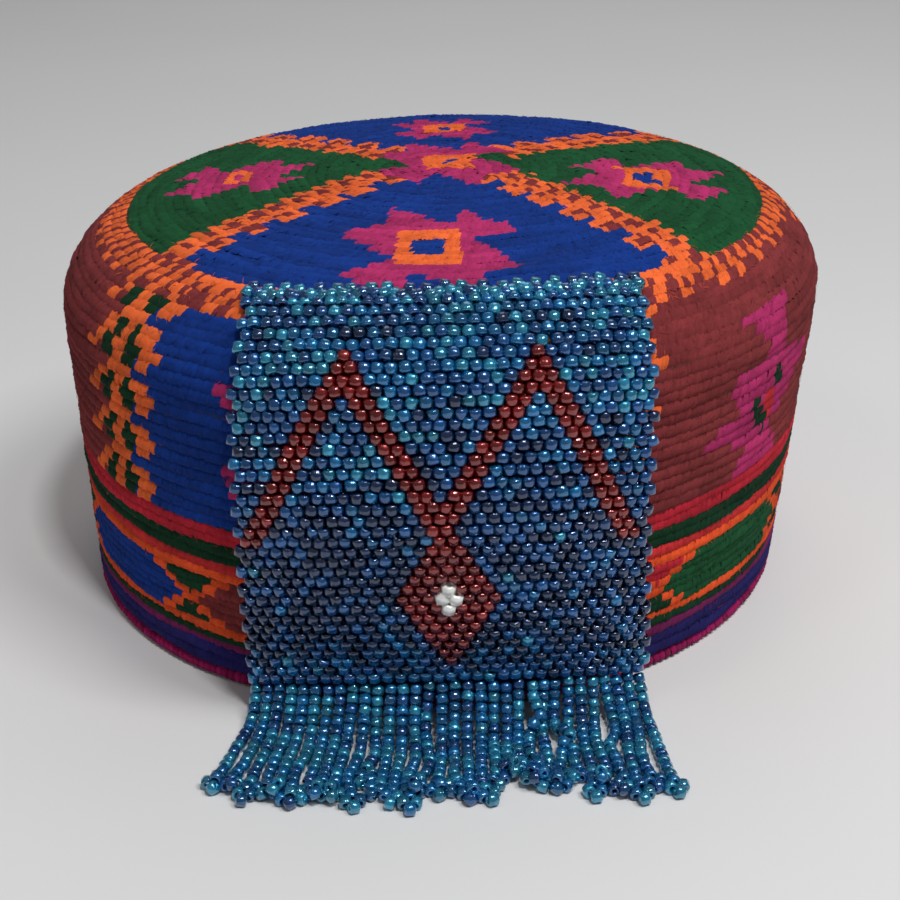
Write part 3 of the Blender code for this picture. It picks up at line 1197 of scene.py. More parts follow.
@dataclass
class WoolPiece:
    """A worked part of the cap: ground cloth, rows of wool stitches over it and loose hairs.

    A strand is one stitch's width, its overlap is how far it reaches up as a share of its row's height, and
    its slant is how far it leans, in degrees. Rows wander in slow waves, of so many to a round, and on one
    side of the cap they dip. A streak is the length of row between one shade and the next. Hairs are counted
    to the square millimetre.
    """

    form: CapForm
    name: str
    node: str
    slot: str
    low: float
    high: float
    rows: tuple[Row, ...]
    chart: Callable[[float, float], Wool]
    wool: Material
    cloth: Material
    shape: StrandShape = StrandShape()
    strand: float = 1.02
    overlap: float = 1.2
    slant: float = 28.0
    seed: int = 7
    sunk: float = 0.25
    turn_stray: float = 0.14
    climb_stray: float = 0.12
    out_stray: float = 0.07
    streak: float = 9.0
    streak_share: float = 0.7
    fewest_streaks: int = 3
    wander: float = 0.2
    wander_waves: tuple[int, ...] = (4, 9, 17)
    hairs: float = 0.3
    hair: StrandShape = StrandShape(0.09, 0.045, 1.2, 0.3, 4, 2, 0.2, 0.35)
    hair_length: tuple[float, float] = (1.4, 3.0)
    hair_out: tuple[float, float] = (0.0, 0.25)
    hair_shade: tuple[float, float] = (0.3, 1.0)
    hair_seed: int = 100
    hair_steps: int = 200
    dip: float = 1.5
    dip_turn: float = -150.0
    dip_full: tuple[float, float] = (14.0, 44.0)
    dip_none: tuple[float, float] = (6.0, 92.0)
    cloth_sunk: float = 0.6
    # painted shade: how dark the ground cloth is against its yarn
    cloth_shade: float = 0.55
    turn_steps: int = 220
    climb_step: float = 3.0
    closed: bool = False
    inner: Wool = Wool.MAROON

    def build(self, strands: StrandTree) -> None:
        """Make the ground cloth, the stitches and the hairs, and settle each.

        Args:
            strands: The tree that lays strands.
        """
        for piece in (self.ground(), self.stitches(strands), self.fuzz(strands)):
            settle(piece, self.slot, self.node)

    def stitches(self, strands: StrandTree) -> Object:
        """Lay every row of stitches.

        Args:
            strands: The tree that lays strands.

        Returns:
            The stitching.
        """
        rng = np.random.default_rng(self.seed)
        laid = []
        colours = []
        foot = self.low
        for number, row in enumerate(self.rows):
            middle = foot + row.height / 2
            girth = 2 * math.pi * float(self.form.at(middle)[0])
            count = round(girth / self.strand)
            turn = (np.arange(count) + 0.5 * (number % 2)) * 360 / count
            colours += [(row.yarn or self.chart(float(t), middle)).value for t in turn]
            laid.append((
                turn + rng.normal(0, self.turn_stray, count) * 360 / count,
                middle + self.wandering(turn, rng) + rng.normal(0, self.climb_stray, count),
                self.wandering(turn, rng) + rng.normal(0, self.out_stray, count),
                self.streaks(count, rng),
                np.full(count, row.height),
                np.full(count, girth / count),
            ))
            foot += row.height
        turn, climb, out, shade, spans, girths = np.concatenate(laid, 1)
        climb = climb - self.dipped(turn, climb)
        around, up, outward = self.form.directions(turn, climb)
        lean = math.radians(self.slant)
        chord = self.overlap / math.cos(lean)
        length = chord * self.shape.bend / (2 * math.sin(self.shape.bend / 2))
        return grow(
            f"{self.name}_stitching",
            strands,
            self.shape.values(self.wool, self.seed, length=length),
            self.form.place(turn, climb, out - self.sunk),
            along=up * math.cos(lean) + around * math.sin(lean),
            outward=outward,
            span=spans,
            girth=girths,
            shade=shade,
            wool=opaque(colours),
        )

    def fuzz(self, strands: StrandTree) -> Object:
        """Lay the loose hairs of the wool, in the yarn's own colours.

        Args:
            strands: The tree that lays strands.

        Returns:
            The hairs.
        """
        rng = np.random.default_rng(self.seed + self.hair_seed)
        steps = np.linspace(self.low, self.high, self.hair_steps)
        radii = self.form.at(steps)[0]
        area = float(radii.mean()) * 2 * math.pi * (self.high - self.low)
        count = round(area * self.hairs)
        climb = np.interp(rng.uniform(0, 1, count), np.cumsum(radii) / radii.sum(), steps)
        turn = rng.uniform(-180, 180, count)
        dipped = climb - self.dipped(turn, climb)
        around, up, outward = self.form.directions(turn, dipped)
        lean = rng.uniform(0, 2 * math.pi, count)[:, None]
        return grow(
            f"{self.name}_fuzz",
            strands,
            self.hair.values(self.wool, self.seed, length=1.0),
            self.form.place(turn, dipped, rng.uniform(*self.hair_out, count)),
            along=up * np.cos(lean) + around * np.sin(lean),
            outward=outward,
            span=rng.uniform(*self.hair_length, count),
            girth=np.ones(count),
            shade=rng.uniform(*self.hair_shade, count),
            wool=opaque([self.yarn_at(float(t), float(c)).value for t, c in zip(turn, climb)]),
        )

    def yarn_at(self, turn: float, climb: float) -> Wool:
        """Find the yarn that shows at a place.

        Args:
            turn: Turn about the axis, in degrees.
            climb: Length of outline from the rim.

        Returns:
            The yarn.
        """
        top = self.low
        for row in self.rows:
            top += row.height
            if climb < top:
                break
        return row.yarn or self.chart(turn, climb)

    def dipped(self, turn: Points, climb: Points) -> Points:
        """Tell how much lower the hand-laid rows lie on one side of the wall.

        Args:
            turn: Turns about the axis, in degrees.
            climb: Lengths of outline from the rim.

        Returns:
            One length a stitch.
        """
        heights = (self.dip_none[0], *self.dip_full, self.dip_none[1])
        share = np.interp(climb, heights, (0.0, 1.0, 1.0, 0.0))
        side = np.maximum(np.cos(np.radians(turn - self.dip_turn)), 0.0)
        return self.dip * share * side

    def wandering(self, turn: Points, rng: np.random.Generator) -> Points:
        """Draw how far a hand-laid row strays from its place, in slow waves.

        Args:
            turn: Turns about the axis, in degrees.
            rng: The chance.

        Returns:
            One length a stitch.
        """
        phases = rng.uniform(0, 2 * math.pi, len(self.wander_waves))
        waves = [np.sin(np.radians(turn) * count + phase) for count, phase in zip(self.wander_waves, phases)]
        return self.wander * sum(waves) / math.sqrt(len(waves))

    def streaks(self, count: int, rng: np.random.Generator) -> Points:
        """Draw how light the yarn is along one row, in slow streaks with a little chance.

        Args:
            count: Strands in the row.
            rng: The chance.

        Returns:
            One value of about 0 to 1 a strand.
        """
        knots = max(self.fewest_streaks, round(count * self.strand / self.streak))
        values = rng.uniform(0, 1, knots)
        slow = np.interp(np.arange(count) * knots / count, np.arange(knots + 1), np.append(values, values[0]))
        return self.streak_share * slow + (1 - self.streak_share) * rng.uniform(0, 1, count)

    def ground(self) -> Object:
        """Make the cloth below the stitches, as a closed wall.

        Returns:
            The cloth.
        """
        count = round((self.high - self.low) / self.climb_step)
        climbs = np.linspace(self.low, self.high, count + 1)
        turns = np.arange(self.turn_steps) * 360 / self.turn_steps
        sheet = [self.form.place(turns, climb, -self.cloth_sunk) for climb in climbs]
        sheet += [self.form.place(turns, climb, -self.form.wall) for climb in climbs[::-1]]
        colours = [self.chart(float(t), float(c)).value for c in climbs for t in turns]
        colours += [self.inner.value] * len(colours)
        rings = np.arange(len(colours)).reshape(-1, self.turn_steps)
        faces = []
        for number, (ring, after) in enumerate(zip(rings, np.roll(rings, -1, 0))):
            if self.closed and number == count:
                faces += [ring.tolist(), after[::-1].tolist()]
            else:
                faces += np.stack([ring, np.roll(ring, -1), np.roll(after, -1), after], 1).tolist()
        name = f"{self.name}_cloth"
        mesh = bpy.data.meshes.new(name)
        mesh.from_pydata((np.concatenate(sheet) * MM).tolist(), [], faces)
        # painted shade: the cloth takes each yarn's colour, and its inner side the lining's, darkened for the
        # gaps between stitches and the inside of the cap
        write_attribute(mesh, "wool", opaque(colours) * ([self.cloth_shade] * 3 + [1.0]))
        mesh.shade_smooth()
        mesh.materials.append(self.cloth)
        return new_object(name, mesh)


@dataclass
class RimBinding:
    """The rolled rim, wrapped in wool: a wrap is the width of one turn of the yarn."""

    form: CapForm
    wool: Material
    height: float = 3.6
    wrap: float = 1.9
    slant: float = 12.0
    seed: int = 23
    yarn: Wool = Wool.RIM
    shape: StrandShape = StrandShape(1.15, 0.55, 4.9, 0.7, 11, 4, 0.03)

    def build(self, strands: StrandTree) -> None:
        """Wrap the rim.

        Args:
            strands: The tree that lays strands.
        """
        radius = self.form.rim_radius - self.form.wall / 2
        count = round(2 * math.pi * radius / self.wrap)
        angle = np.radians(np.arange(count) * 360 / count)
        out = np.stack([np.cos(angle), np.sin(angle), 0 * angle], 1)
        around = np.stack([-np.sin(angle), np.cos(angle), 0 * angle], 1)
        core = self.height / 2 - self.shape.height
        lean = math.radians(self.slant)
        piece = grow(
            "rim_wraps",
            strands,
            self.shape.values(self.wool, self.seed, length=self.shape.bend * core),
            out * radius + (*self.form.axis, self.height / 2 + core),
            along=out * math.cos(lean) + around * math.sin(lean),
            outward=np.tile([0.0, 0.0, 1.0], (count, 1)),
            span=np.ones(count),
            girth=np.full(count, self.wrap),
            shade=np.random.default_rng(self.seed).uniform(0, 1, count),
            wool=opaque([self.yarn.value] * count),
        )
        settle(piece, "binding_wool", "rim_binding")


@dataclass
class Beads:
    """The beads of one piece, noted one by one and then threaded together."""

    name: str
    slot: str
    node: str
    glass: Material
    shape: BeadShape
    seed: int
    noted: list[tuple[Sequence[float], ...]] = field(default_factory=list)

    def note(self, place: Sequence[float], along: Vector, out: Vector, bead: Bead) -> None:
        """Note a bead: its centre, the direction of its hole, its outward direction and its glass."""
        self.noted.append((tuple(place), tuple(along), tuple(out), bead.value))

    def thread(self, tree: BeadTree) -> None:
        """Thread the noted beads and settle the piece.

        Args:
            tree: The tree that threads beads.
        """
        places, alongs, outs, colours = (np.array(rows, dtype=np.float32) for rows in zip(*self.noted))
        values = self.shape.values(self.glass, self.seed)
        piece = grow(self.name, tree, values, places, along=alongs, outward=outs, glass=opaque(colours))
        settle(piece, self.slot, self.node)


class Stripe(Enum):
    """What a bead of the panel belongs to."""

    GROUND = "ground"
    ZIGZAG = "zigzag"
    EYE = "eye"


@dataclass(frozen=True)
class PanelChart:
    """The zigzag and diamond of the bead panel, counted in beads from the left and rows from the top.

    Two peaks stand either side of the middle. Their inner legs meet at the valley, their outer legs run on to
    the leg's end, and the diamond with its eye hangs below the valley.
    """

    middle: float = 15.25
    diamond_middle: float = 15.75
    peak_row: int = 6
    peak_away: float = 7.0
    valley_row: int = 20
    leg_end: int = 21
    stripe_half: float = 0.75
    diamond_row: int = 27
    widest: int = 8
    eye_reach: float = 1.6

    def stripe(self, column: float, row: int) -> Stripe:
        """Tell what a bead belongs to.

        Args:
            column: The bead's place across, in beads from the left.
            row: The bead's row from the top.

        Returns:
            Its part of the chart.
        """
        away = abs(column - self.middle)
        if row == self.peak_row - 1 and abs(away - self.peak_away) < self.stripe_half / 2:
            return Stripe.ZIGZAG
        legs = (
            (self.valley_row, (self.valley_row - row) / 2),
            (self.leg_end, self.peak_away + (row - self.peak_row) / 2),
        )
        for last, leg in legs:
            if self.peak_row <= row <= last and abs(away - leg) < self.stripe_half:
                return Stripe.ZIGZAG
        aside = abs(column - self.diamond_middle)
        below = abs(row - self.diamond_row)
        if below + aside * 2 < self.eye_reach:
            return Stripe.EYE
        return Stripe.ZIGZAG if aside < (self.widest - below) / 2 else Stripe.GROUND


@dataclass
class BeadPanel:
    """The woven panel of beads, hung as the model's panel hangs.

    Each of the hang rows holds a share of the way down, then the distance off the cap, the flatness of the
    section, the share of the full width and the swing to the side. Each mix holds the share of each blue at
    its row, and the mixes paint light and shade: more teal in the top rows as painted glints, more navy lower
    down as painted shade, and lighter blues again at the foot as painted light bounced from the table. The
    picots are the small loops along the top edge. The strays are how far a bead lies off its place across,
    down and out.
    """

    form: CapForm
    glass: Material
    chalk: Material
    columns: int = 32
    rows: int = 37
    pitch: float = 3.03
    bead: BeadShape = BeadShape(3.12, 2.62)
    eye_bead: BeadShape = BeadShape(3.7, 3.0)
    eye_out: float = 0.3
    eye_seed: int = 2
    stagger: float = 0.25
    strays: tuple[float, float, float] = (0.1, 0.1, 0.12)
    blues: tuple[Bead, ...] = (Bead.TEAL, Bead.SEA, Bead.BLUE, Bead.NAVY)
    # painted light and shade: the blue mix changes by row, teal glints painted on the top rows, navy shade
    # painted lower down, lighter blues at the foot for light bounced from the table
    mix_rows: tuple[float, ...] = (0.0, 10.0, 18.0, 31.0, 36.0)
    mixes: tuple[tuple[float, ...], ...] = (
        (0.36, 0.42, 0.22, 0.0),
        (0.12, 0.32, 0.42, 0.14),
        (0.02, 0.12, 0.42, 0.44),
        (0.0, 0.06, 0.34, 0.6),
        (0.08, 0.4, 0.42, 0.1),
    )
    top_angle: float = math.radians(59.0)
    bottom: float = 11.8
    turn: float = math.radians(-0.6)
    droop: float = 4.2
    gap: float = 0.3
    hang_rows: tuple[tuple[float, ...], ...] = (
        (0.00, 1.7, 1.00, 0.95, 0.0),
        (0.28, 2.0, 1.02, 1.00, 0.0),
        (0.56, 7.8, 1.12, 0.97, 0.2),
        (0.80, 6.8, 1.32, 0.97, 1.2),
        (1.00, 4.0, 1.55, 0.97, 2.2),
    )
    probe_across: float = 0.5
    probe_down: float = 0.004
    chart: PanelChart = PanelChart()
    picot_count: int = 23
    picot_stray: float = 0.3
    picot_lift: tuple[float, float] = (-0.2, 0.9)
    picot_lean: float = 0.5
    picot_half: float = 1.35
    picot_rise: float = 1.7
    picot_out: tuple[float, float] = (0.1, 0.7)
    picot_splay: float = 0.7
    picot_teal: float = 0.6
    seed: int = 41

    @property
    def half(self) -> float:
        """Half the panel's width at full pitch."""
        return self.columns * self.pitch / 2

    @property
    def shoulder(self) -> float:
        """Length of the panel's way over the shoulder."""
        return self.top_angle * (self.form.shoulder_reach + self.form.shoulder_rise) / 2

    @property
    def length(self) -> float:
        """Length of the panel."""
        return self.shoulder + self.form.shoulder_height - self.bottom

    def hang(self, down: float) -> tuple[float, float, float, float]:
        """Read how the panel hangs.

        Args:
            down: Share of the way down.

        Returns:
            Distance off the cap, flatness of its section, share of its width, and swing to the side.
        """
        for upper, lower in zip(self.hang_rows, self.hang_rows[1:]):
            if down <= lower[0]:
                share = max((down - upper[0]) / (lower[0] - upper[0]), 0.0)
                eased = share * share * (3 - 2 * share)
                return tuple(a + (b - a) * eased for a, b in zip(upper[1:], lower[1:]))
        return self.hang_rows[-1][1:]

    def middle(self, across: float, down: float) -> Vector:
        """A point on the panel's middle surface.

        Args:
            across: Distance across from the centre line.
            down: Share of the way down.

        Returns:
            The point.
        """
        form = self.form
        down += self.droop / self.length * (across / self.half) ** 2
        along = down * self.length
        if along < self.shoulder:
            angle = self.top_angle * (1 - along / self.shoulder)
            radius = form.shoulder_radius - form.shoulder_reach * (1 - math.cos(angle))
            height = form.shoulder_height + form.shoulder_rise * math.sin(angle)
            out = Vector((form.shoulder_rise * math.cos(angle), form.shoulder_reach * math.sin(angle)))
            out.normalize()
        else:
            height = form.shoulder_height - (along - self.shoulder)
            share = height / form.shoulder_height
            radius = form.rim_radius + (form.shoulder_radius - form.rim_radius) * share
            out = Vector((1.0, 0.0))
        off, flat, _, swing = self.hang(down)
        front = radius + out.x * off
        height += out.y * off
        bend = front * flat
        turn = across / bend
        x = bend * math.sin(turn) + swing
        y = -front + bend * (1 - math.cos(turn))
        axis_x, axis_y = form.axis
        return Vector((
            axis_x + form.lean * height + x * math.cos(self.turn) - y * math.sin(self.turn),
            axis_y + x * math.sin(self.turn) + y * math.cos(self.turn),
            height,
        ))

    def frame_at(self, across: float, down: float) -> tuple[Vector, Vector, Vector]:
        """Find a bead's place and directions.

        Args:
            across: Distance across from the centre line.
            down: Share of the way down.

        Returns:
            The point, the direction down the panel and the direction out of it.
        """
        step, drop = self.probe_across, self.probe_down
        sideways = self.middle(across + step, down) - self.middle(across - step, down)
        fall = self.middle(across, down + drop) - self.middle(across, down - drop)
        return self.middle(across, down), fall.normalized(), sideways.cross(-fall).normalized()

    def build(self, beads: BeadTree) -> None:
        """Thread every bead of the panel.

        Args:
            beads: The tree that threads beads.
        """
        rng = np.random.default_rng(self.seed)
        seat = ("panel_beads", "bead_panel")
        woven = Beads("bead_panel_glass", *seat, self.glass, self.bead, self.seed)
        eye = Beads("bead_panel_eye", *seat, self.chalk, self.eye_bead, self.seed + self.eye_seed)
        across_stray, down_stray, out_stray = self.strays
        for row in range(self.rows):
            shift = self.stagger if row % 2 else -self.stagger
            down = (row + 0.5) / self.rows
            width = self.hang(down)[2] * self.pitch
            for column in range(self.columns):
                across = (column + shift - (self.columns - 1) / 2) * width + rng.normal(0, across_stray)
                place, along, out = self.frame_at(across, down + rng.normal(0, down_stray) / self.length)
                place += out * rng.normal(0, out_stray)
                bead = self.colour(column + shift, row, rng)
                if bead is Bead.WHITE:
                    eye.note(place + out * self.eye_out, along, out, bead)
                else:
                    woven.note(place, along, out, bead)
        self.picots(woven, rng)
        woven.thread(beads)
        eye.thread(beads)

    def picots(self, woven: Beads, rng: np.random.Generator) -> None:
        """Place the loops of three beads along the top edge.

        Args:
            woven: Where they are noted.
            rng: The chance.
        """
        step = self.half * 2 * self.hang(0.0)[2] / self.picot_count
        for number in range(self.picot_count):
            middle = (number + 0.5 - self.picot_count / 2) * step + rng.normal(0, self.picot_stray)
            lift = rng.uniform(*self.picot_lift)
            lean = rng.normal(0, self.picot_lean)
            for side, rise in ((-self.picot_half, 0.0), (lean, self.picot_rise), (self.picot_half, 0.0)):
                across = middle + side
                _, along, out = self.frame_at(across, 0.0)
                sideways = out.cross(along)
                place = self.middle(across, -(lift + rise) / self.length) + out * rng.uniform(*self.picot_out)
                hole = sideways if rise else (along + sideways * side * self.picot_splay).normalized()
                woven.note(place, hole, out, Bead.TEAL if rng.random() < self.picot_teal else Bead.BLUE)

    def colour(self, column: float, row: int, rng: np.random.Generator) -> Bead:
        """Pick the glass of one bead.

        Args:
            column: The bead's place across.
            row: The bead's row.
            rng: The chance between the blues.

        Returns:
            The glass.
        """
        stripe = self.chart.stripe(column, row)
        if stripe is Stripe.GROUND:
            # painted light and shade: the mix of blues follows the bead's row
            mix = np.array([np.interp(row, self.mix_rows, shares) for shares in zip(*self.mixes)])
            return self.blues[int(rng.choice(len(mix), p=mix / mix.sum()))]
        return Bead.RED if stripe is Stripe.ZIGZAG else Bead.WHITE


@dataclass
class BeadFringe:
    """Strands of beads that hang from the panel and lie on the table, each ended by a loop of three.

    Each tip is where a strand ends, to the side of the cap's axis and in front of it. A strand bends towards
    its tip and waves a little. Then, in a number of rounds, the beads fall, push each other apart, hop where
    they are crowded and are pulled back to their distance on the thread.
    """

    panel: BeadPanel
    glass: Material
    tips: tuple[tuple[float, float], ...] = (
        (-51.0, 123.0), (-47.0, 126.0), (-44.2, 128.0), (-40.8, 127.8), (-37.2, 128.4), (-34.6, 129.6),
        (-31.0, 129.4), (-28.4, 128.2), (-25.4, 128.8), (-21.2, 131.6), (-17.5, 124.6), (-14.2, 129.4),
        (-11.4, 131.0), (-8.4, 131.6), (-4.6, 129.0), (-1.8, 129.8), (1.4, 129.6), (5.0, 130.2),
        (7.8, 131.8), (11.2, 126.0), (14.0, 124.2), (16.8, 123.0), (20.2, 126.6), (22.6, 126.2),
        (25.6, 128.0), (27.4, 125.4), (32.8, 131.6), (34.8, 128.0), (38.6, 130.0), (41.6, 133.0),
        (44.2, 128.4), (50.2, 131.4),
    )
    pitch: float = 2.5
    bead: float = 2.9
    height: float = 2.45
    blues: tuple[Bead, ...] = (Bead.TEAL, Bead.SEA, Bead.BLUE)
    # a lighter mix than the panel's lower rows: partly the fringe's own glass, partly painted light bounced up
    # from the table
    mix: tuple[float, ...] = (0.4, 0.46, 0.14)
    upright: float = 0.9
    samples: int = 60
    bend_side: float = 0.3
    bend_forward: float = 0.4
    wave: float = 1.2
    waves: float = 1.6
    lift: float = 1.2
    loop: int = 3
    loop_side: tuple[float, float] = (0.62, 0.75)
    loop_end: float = 1.35
    loop_turn: float = 0.5
    loop_lift: float = 1.5
    rounds: int = 60
    pulls: int = 12
    fall: float = 0.06
    closest: float = 0.97
    push: float = 0.4
    crowded: float = 0.3
    hop: float = 0.2
    pull: float = 0.45
    tiny: float = 1e-6
    seed: int = 57

    def build(self, beads: BeadTree) -> None:
        """Thread every strand, let the strands settle and keep them as one mesh.

        Args:
            beads: The tree that threads beads.
        """
        rng = np.random.default_rng(self.seed)
        chains = [self.chain(column, rng) for column in range(self.panel.columns)]
        starts = np.cumsum([0] + [len(chain) for chain in chains])
        ends = starts[1:] - self.loop - 1
        links = []
        for start, last in zip(starts, ends):
            links += [(number, number + 1) for number in range(start, last + self.loop)]
            links.append((last + self.loop, last))
        held = np.zeros(starts[-1], bool)
        held[starts[:-1]] = True
        places = self.settled(np.concatenate(chains), np.array(links), held)
        picks = rng.choice(len(self.blues), len(places), p=self.mix)
        shape = BeadShape(self.bead, self.height)
        strung = Beads("bead_fringe_glass", "fringe_beads", "bead_fringe", self.glass, shape, self.seed)
        for place, along, pick in zip(places, self.tangents(places, starts, ends), picks):
            out = Vector((0.0, 0.0, 1.0)) if abs(along.z) < self.upright else Vector((0.0, -1.0, 0.0))
            strung.note(place, along, out, self.blues[pick])
        strung.thread(beads)

    def chain(self, column: int, rng: np.random.Generator) -> Points:
        """Place the beads of one strand along a loose curve, with the loop at its end.

        Args:
            column: The strand's column.
            rng: The chance for its waves.

        Returns:
            Bead centres, the last three of them the loop's.
        """
        panel = self.panel
        across = (column + 0.5 - panel.columns / 2) * panel.pitch * panel.hang(1.0)[2]
        low = 1 + panel.gap / panel.length
        start = np.array(panel.middle(across, low + 0.5 / panel.rows))
        side, reach = self.tips[column]
        axis_x, axis_y = panel.form.axis
        tip = np.array([axis_x + side, axis_y - reach, self.bead / 2])
        knee = start + (tip - start) * (self.bend_side, self.bend_forward, 0.0)
        knee[2] = tip[2]
        share = np.linspace(0, 1, self.samples)[:, None]
        line = start * (1 - share) ** 2 + knee * 2 * share * (1 - share) + tip * share ** 2
        share = share[:, 0]
        phase = rng.uniform(0, 2 * math.pi)
        size = rng.normal(0, self.wave)
        swing = np.sin(share * self.waves * 2 * math.pi + phase) - math.sin(phase) * (1 - share)
        line[:, 0] += size * swing * np.sin(share * math.pi) ** 0.5
        line[:, 2] += rng.uniform(0.0, self.lift) * share
        steps = np.concatenate([[0], np.cumsum(np.linalg.norm(np.diff(line, axis=0), axis=1))])
        count = int(steps[-1] / self.pitch - 0.5)
        at = np.arange(count) * self.pitch + rng.uniform(0.0, self.pitch / 2)
        beads = np.stack([np.interp(at, steps, values) for values in line.T], 1)
        ahead = beads[-1] - beads[-3]
        ahead /= np.linalg.norm(ahead)
        aside = np.array([-ahead[1], ahead[0], 0.0]) * rng.choice([-1.0, 1.0])
        turn = rng.normal(0, self.loop_turn)
        aside = aside * math.cos(turn) + ahead * math.sin(turn)
        forward, wide = ahead * self.loop_side[0], aside * self.loop_side[1]
        loop = beads[-1] + np.array([forward + wide, ahead * self.loop_end, forward - wide]) * self.pitch
        loop[1, 2] += rng.uniform(0.0, self.loop_lift)
        return np.concatenate([beads, loop])

    def settled(self, places: Points, links: Points, held: Points) -> Points:
        """Let the beads push each other apart, keep their thread's length and fall to the table.

        Args:
            places: Bead centres.
            links: Pairs of beads that follow each other on a thread.
            held: True for a bead that can't move.

        Returns:
            The bead centres at rest.
        """
        beads = places.copy()
        least = self.bead * self.closest
        first, second = links.T
        linked = np.eye(len(beads), dtype=bool)
        linked[first, second] = True
        linked |= linked.T
        rng = np.random.default_rng(self.seed + 1)
        for _ in range(self.rounds):
            beads[:, 2] -= self.fall
            between = beads[:, None] - beads[None, :]
            length = np.linalg.norm(between, axis=2) + self.tiny
            push = np.where(linked | (length > least), 0.0, (least - length) / length)
            beads += (between * push[..., None]).sum(1) * self.push
            beads[:, 2] += (push.sum(1) > self.crowded) * rng.uniform(0.0, self.hop, len(beads))
            for _ in range(self.pulls):
                gap = beads[second] - beads[first]
                span = np.linalg.norm(gap, axis=1)[:, None] + self.tiny
                fix = gap * (1 - self.pitch / span) * self.pull
                np.add.at(beads, first, fix)
                np.add.at(beads, second, -fix)
                beads[:, 2] = np.maximum(beads[:, 2], self.bead / 2)
                beads[held] = places[held]
        return beads

    def tangents(self, places: Points, starts: Points, ends: Points) -> list[Vector]:
        """Find the direction of each bead's hole.

        Args:
            places: Bead centres.
            starts: Number of each strand's first bead.
            ends: Number of each strand's last bead before its loop.

        Returns:
            One direction a bead.
        """
        found = []
        for start, last in zip(starts, ends):
            run = np.arange(start, last + 1)
            found += list(places[np.minimum(run + 1, last)] - places[np.maximum(run - 1, start)])
            knot, first, middle, third = places[last:last + self.loop + 1]
            found += [middle - knot, third - first, knot - middle]
        return [Vector(direction).normalized() for direction in found]


@dataclass(frozen=True)
class Light:
    """One square soft light, with its place and side in metres and its power in watts."""

    name: str
    place: tuple[float, float, float]
    size: float
    power: float

    def hang(self, aim: Vector) -> None:
        """Hang the light.

        Args:
            aim: The point that it is turned to, in metres.
        """
        light = bpy.data.lights.new(self.name, "AREA")
        light.size = self.size
        light.energy = self.power
        made = new_object(self.name, light)
        made.location = self.place
        made.rotation_euler = (aim - Vector(self.place)).to_track_quat("-Z", "Y").to_euler()


@dataclass(frozen=True)
class Studio:
    """Camera, floor and soft light."""

    camera_place: tuple[float, float, float] = (-3.89, -412.24, 224.63)
    yaw: float = 0.708
    pitch: float = 24.964
    roll: float = -1.599
    lens: float = 68.0
    sensor: float = 36.0
    clip: tuple[float, float] = (0.01, 20.0)
    floor_size: float = 6.0
    aim: tuple[float, float, float] = (0.0, 0.0, 0.05)
    lights: tuple[Light, ...] = (
        Light("key", (0.6, -0.44, 1.15), 0.42, 6.2),
        Light("left", (-0.5, -0.46, 1.1), 0.2, 0.4),
        Light("glint", (0.18, -0.5, 1.05), 0.12, 4.6),
        Light("back", (0.1, 1.0, 1.2), 1.0, 3.0),
    )
    room: tuple[float, float, float, float] = (0.86, 0.87, 0.88, 1.0)
    room_strength: float = 0.2

    def build(self) -> None:
        """Set up the camera, the floor, the lights and the pale surroundings."""
        self.camera()
        self.floor()
        for light in self.lights:
            light.hang(Vector(self.aim))
        world = bpy.data.worlds.new("room")
        bpy.context.scene.world = world
        world.use_nodes = True
        colour, strength = world.node_tree.nodes["Background"].inputs[:2]
        colour.default_value = self.room
        strength.default_value = self.room_strength
        bpy.context.scene.view_settings.view_transform = "Standard"

    def camera(self) -> None:
        """Place the camera at the photograph's viewing angle."""
        yaw, pitch, roll = (math.radians(v) for v in (self.yaw, self.pitch, self.roll))
        ahead = Vector((math.sin(yaw) * math.cos(pitch), math.cos(yaw) * math.cos(pitch), -math.sin(pitch)))
        level = Vector((math.cos(yaw), -math.sin(yaw), 0.0))
        upright = level.cross(ahead)
        right = level * math.cos(roll) + upright * math.sin(roll)
        up = upright * math.cos(roll) - level * math.sin(roll)
        lens = bpy.data.cameras.new("camera")
        lens.lens = self.lens
        lens.sensor_width = self.sensor
        lens.clip_start, lens.clip_end = self.clip
        made = new_object("camera", lens)
        turned = Matrix((right, up, -ahead)).transposed().to_4x4()
        made.matrix_world = Matrix.Translation(Vector(self.camera_place) * MM) @ turned
        bpy.context.scene.camera = made

    def floor(self) -> None:
        """Lay the pale floor."""
        half = self.floor_size / 2
        corners = [(-half, -half, 0.0), (half, -half, 0.0), (half, half, 0.0), (-half, half, 0.0)]
        mesh = bpy.data.meshes.new("floor")
        mesh.from_pydata(corners, [], [(0, 1, 2, 3)])
        mesh.materials.append(FloorFinish().material())
        new_object("floor", mesh)


@dataclass(frozen=True)
class Seams:
    """Where the worked parts start and end, as lengths of outline, and the heights of their rows."""

    hem_low: float = 3.9
    hem_high: float = 44.4
    wall_low: float = 44.7
    crown_height: float = 84.3
    gap: float = 0.3
    top_left: float = 1.2
    crown_row: float = 2.45
    wall_row: float = 2.84


def even_rows(low: float, high: float, pitch: float) -> tuple[Row, ...]:
    """Charted rows of one height that fill a stretch.

    Args:
        low: Where the rows start.
        high: Where they end.
        pitch: The height wanted.

    Returns:
        The rows.
    """
    count = round((high - low) / pitch)
    return (Row((high - low) / count),) * count


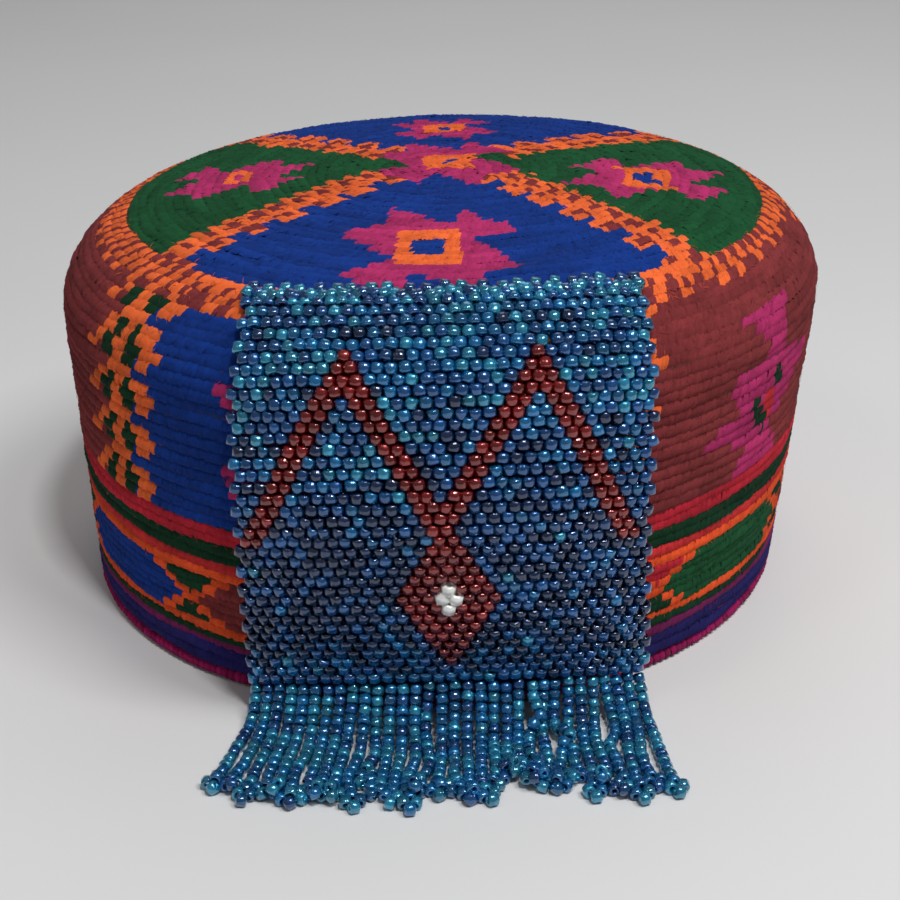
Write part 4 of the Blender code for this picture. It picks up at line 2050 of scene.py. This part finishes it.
def hem_rows() -> tuple[Row, ...]:
    """The hem's rows, counted from the rim up.

    Returns:
        The rows.
    """
    low = (Row(3.0, Wool.NAVY), Row(3.0, Wool.NAVY), Row(2.7, Wool.PLUM), Row(1.7, Wool.DEEP_GREEN))
    line = Row(2.4, Wool.FLAME)
    charted = (Row(2.2),) * 6
    top = (Row(2.6, Wool.RED), Row(2.6, Wool.DEEP_GREEN), Row(2.6, Wool.DEEP_GREEN))
    return (*low, line, *charted, line, *top, *(Row(2.3, Wool.CRIMSON),) * 2)


def main() -> None:
    """Build every piece in order and report it."""
    logging.basicConfig(level=logging.INFO, format="%(message)s")
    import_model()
    form = CapForm()
    wool = WoolFinish("hand_spun_wool").material()
    cloth = ClothFinish("ground_cotton").material()
    glass = GlassFinish("silver_lined_glass").material()
    strands = StrandTree()
    beads = BeadTree()
    seams = Seams()
    wall = WallPattern()
    crown_low = form.climb_at_height(seams.crown_height)
    crown_high = form.full_climb - seams.top_left
    wall_high = crown_low - seams.gap
    pieces = (
        WoolPiece(
            form, "crown", "crown_top", "crown_wool", crown_low, crown_high,
            even_rows(crown_low, crown_high, seams.crown_row), CrownPattern(form, wall).colour, wool, cloth,
            StrandShape(width=1.7, height=0.1, bend=1.1, steps=4), strand=0.87, overlap=1.25, closed=True,
        ),
        WoolPiece(
            form, "wall", "side_wall", "wall_wool", seams.wall_low, wall_high,
            even_rows(seams.wall_low, wall_high, seams.wall_row), wall.colour, wool, cloth,
            StrandShape(bend=1.8), strand=0.9, seed=11,
        ),
        WoolPiece(
            form, "hem", "hem_band", "hem_wool", seams.hem_low, seams.hem_high,
            hem_rows(), HemPattern().colour, wool, cloth, seed=13,
        ),
        RimBinding(form, wool),
    )
    for piece in pieces:
        piece.build(strands)
    chalk = GlassFinish(
        "chalk_white_glass", clearness=0.0, silver=0.0, lining_silver=0.0,
        rough=(0.2, 0.35), tone=(0.96, 1.04), cloud=(0.9, 1.05),
    )
    panel = BeadPanel(form, glass, chalk.material())
    panel.build(beads)
    BeadFringe(panel, glass).build(beads)
    Studio().build()


if __name__ == "__main__":
    main()
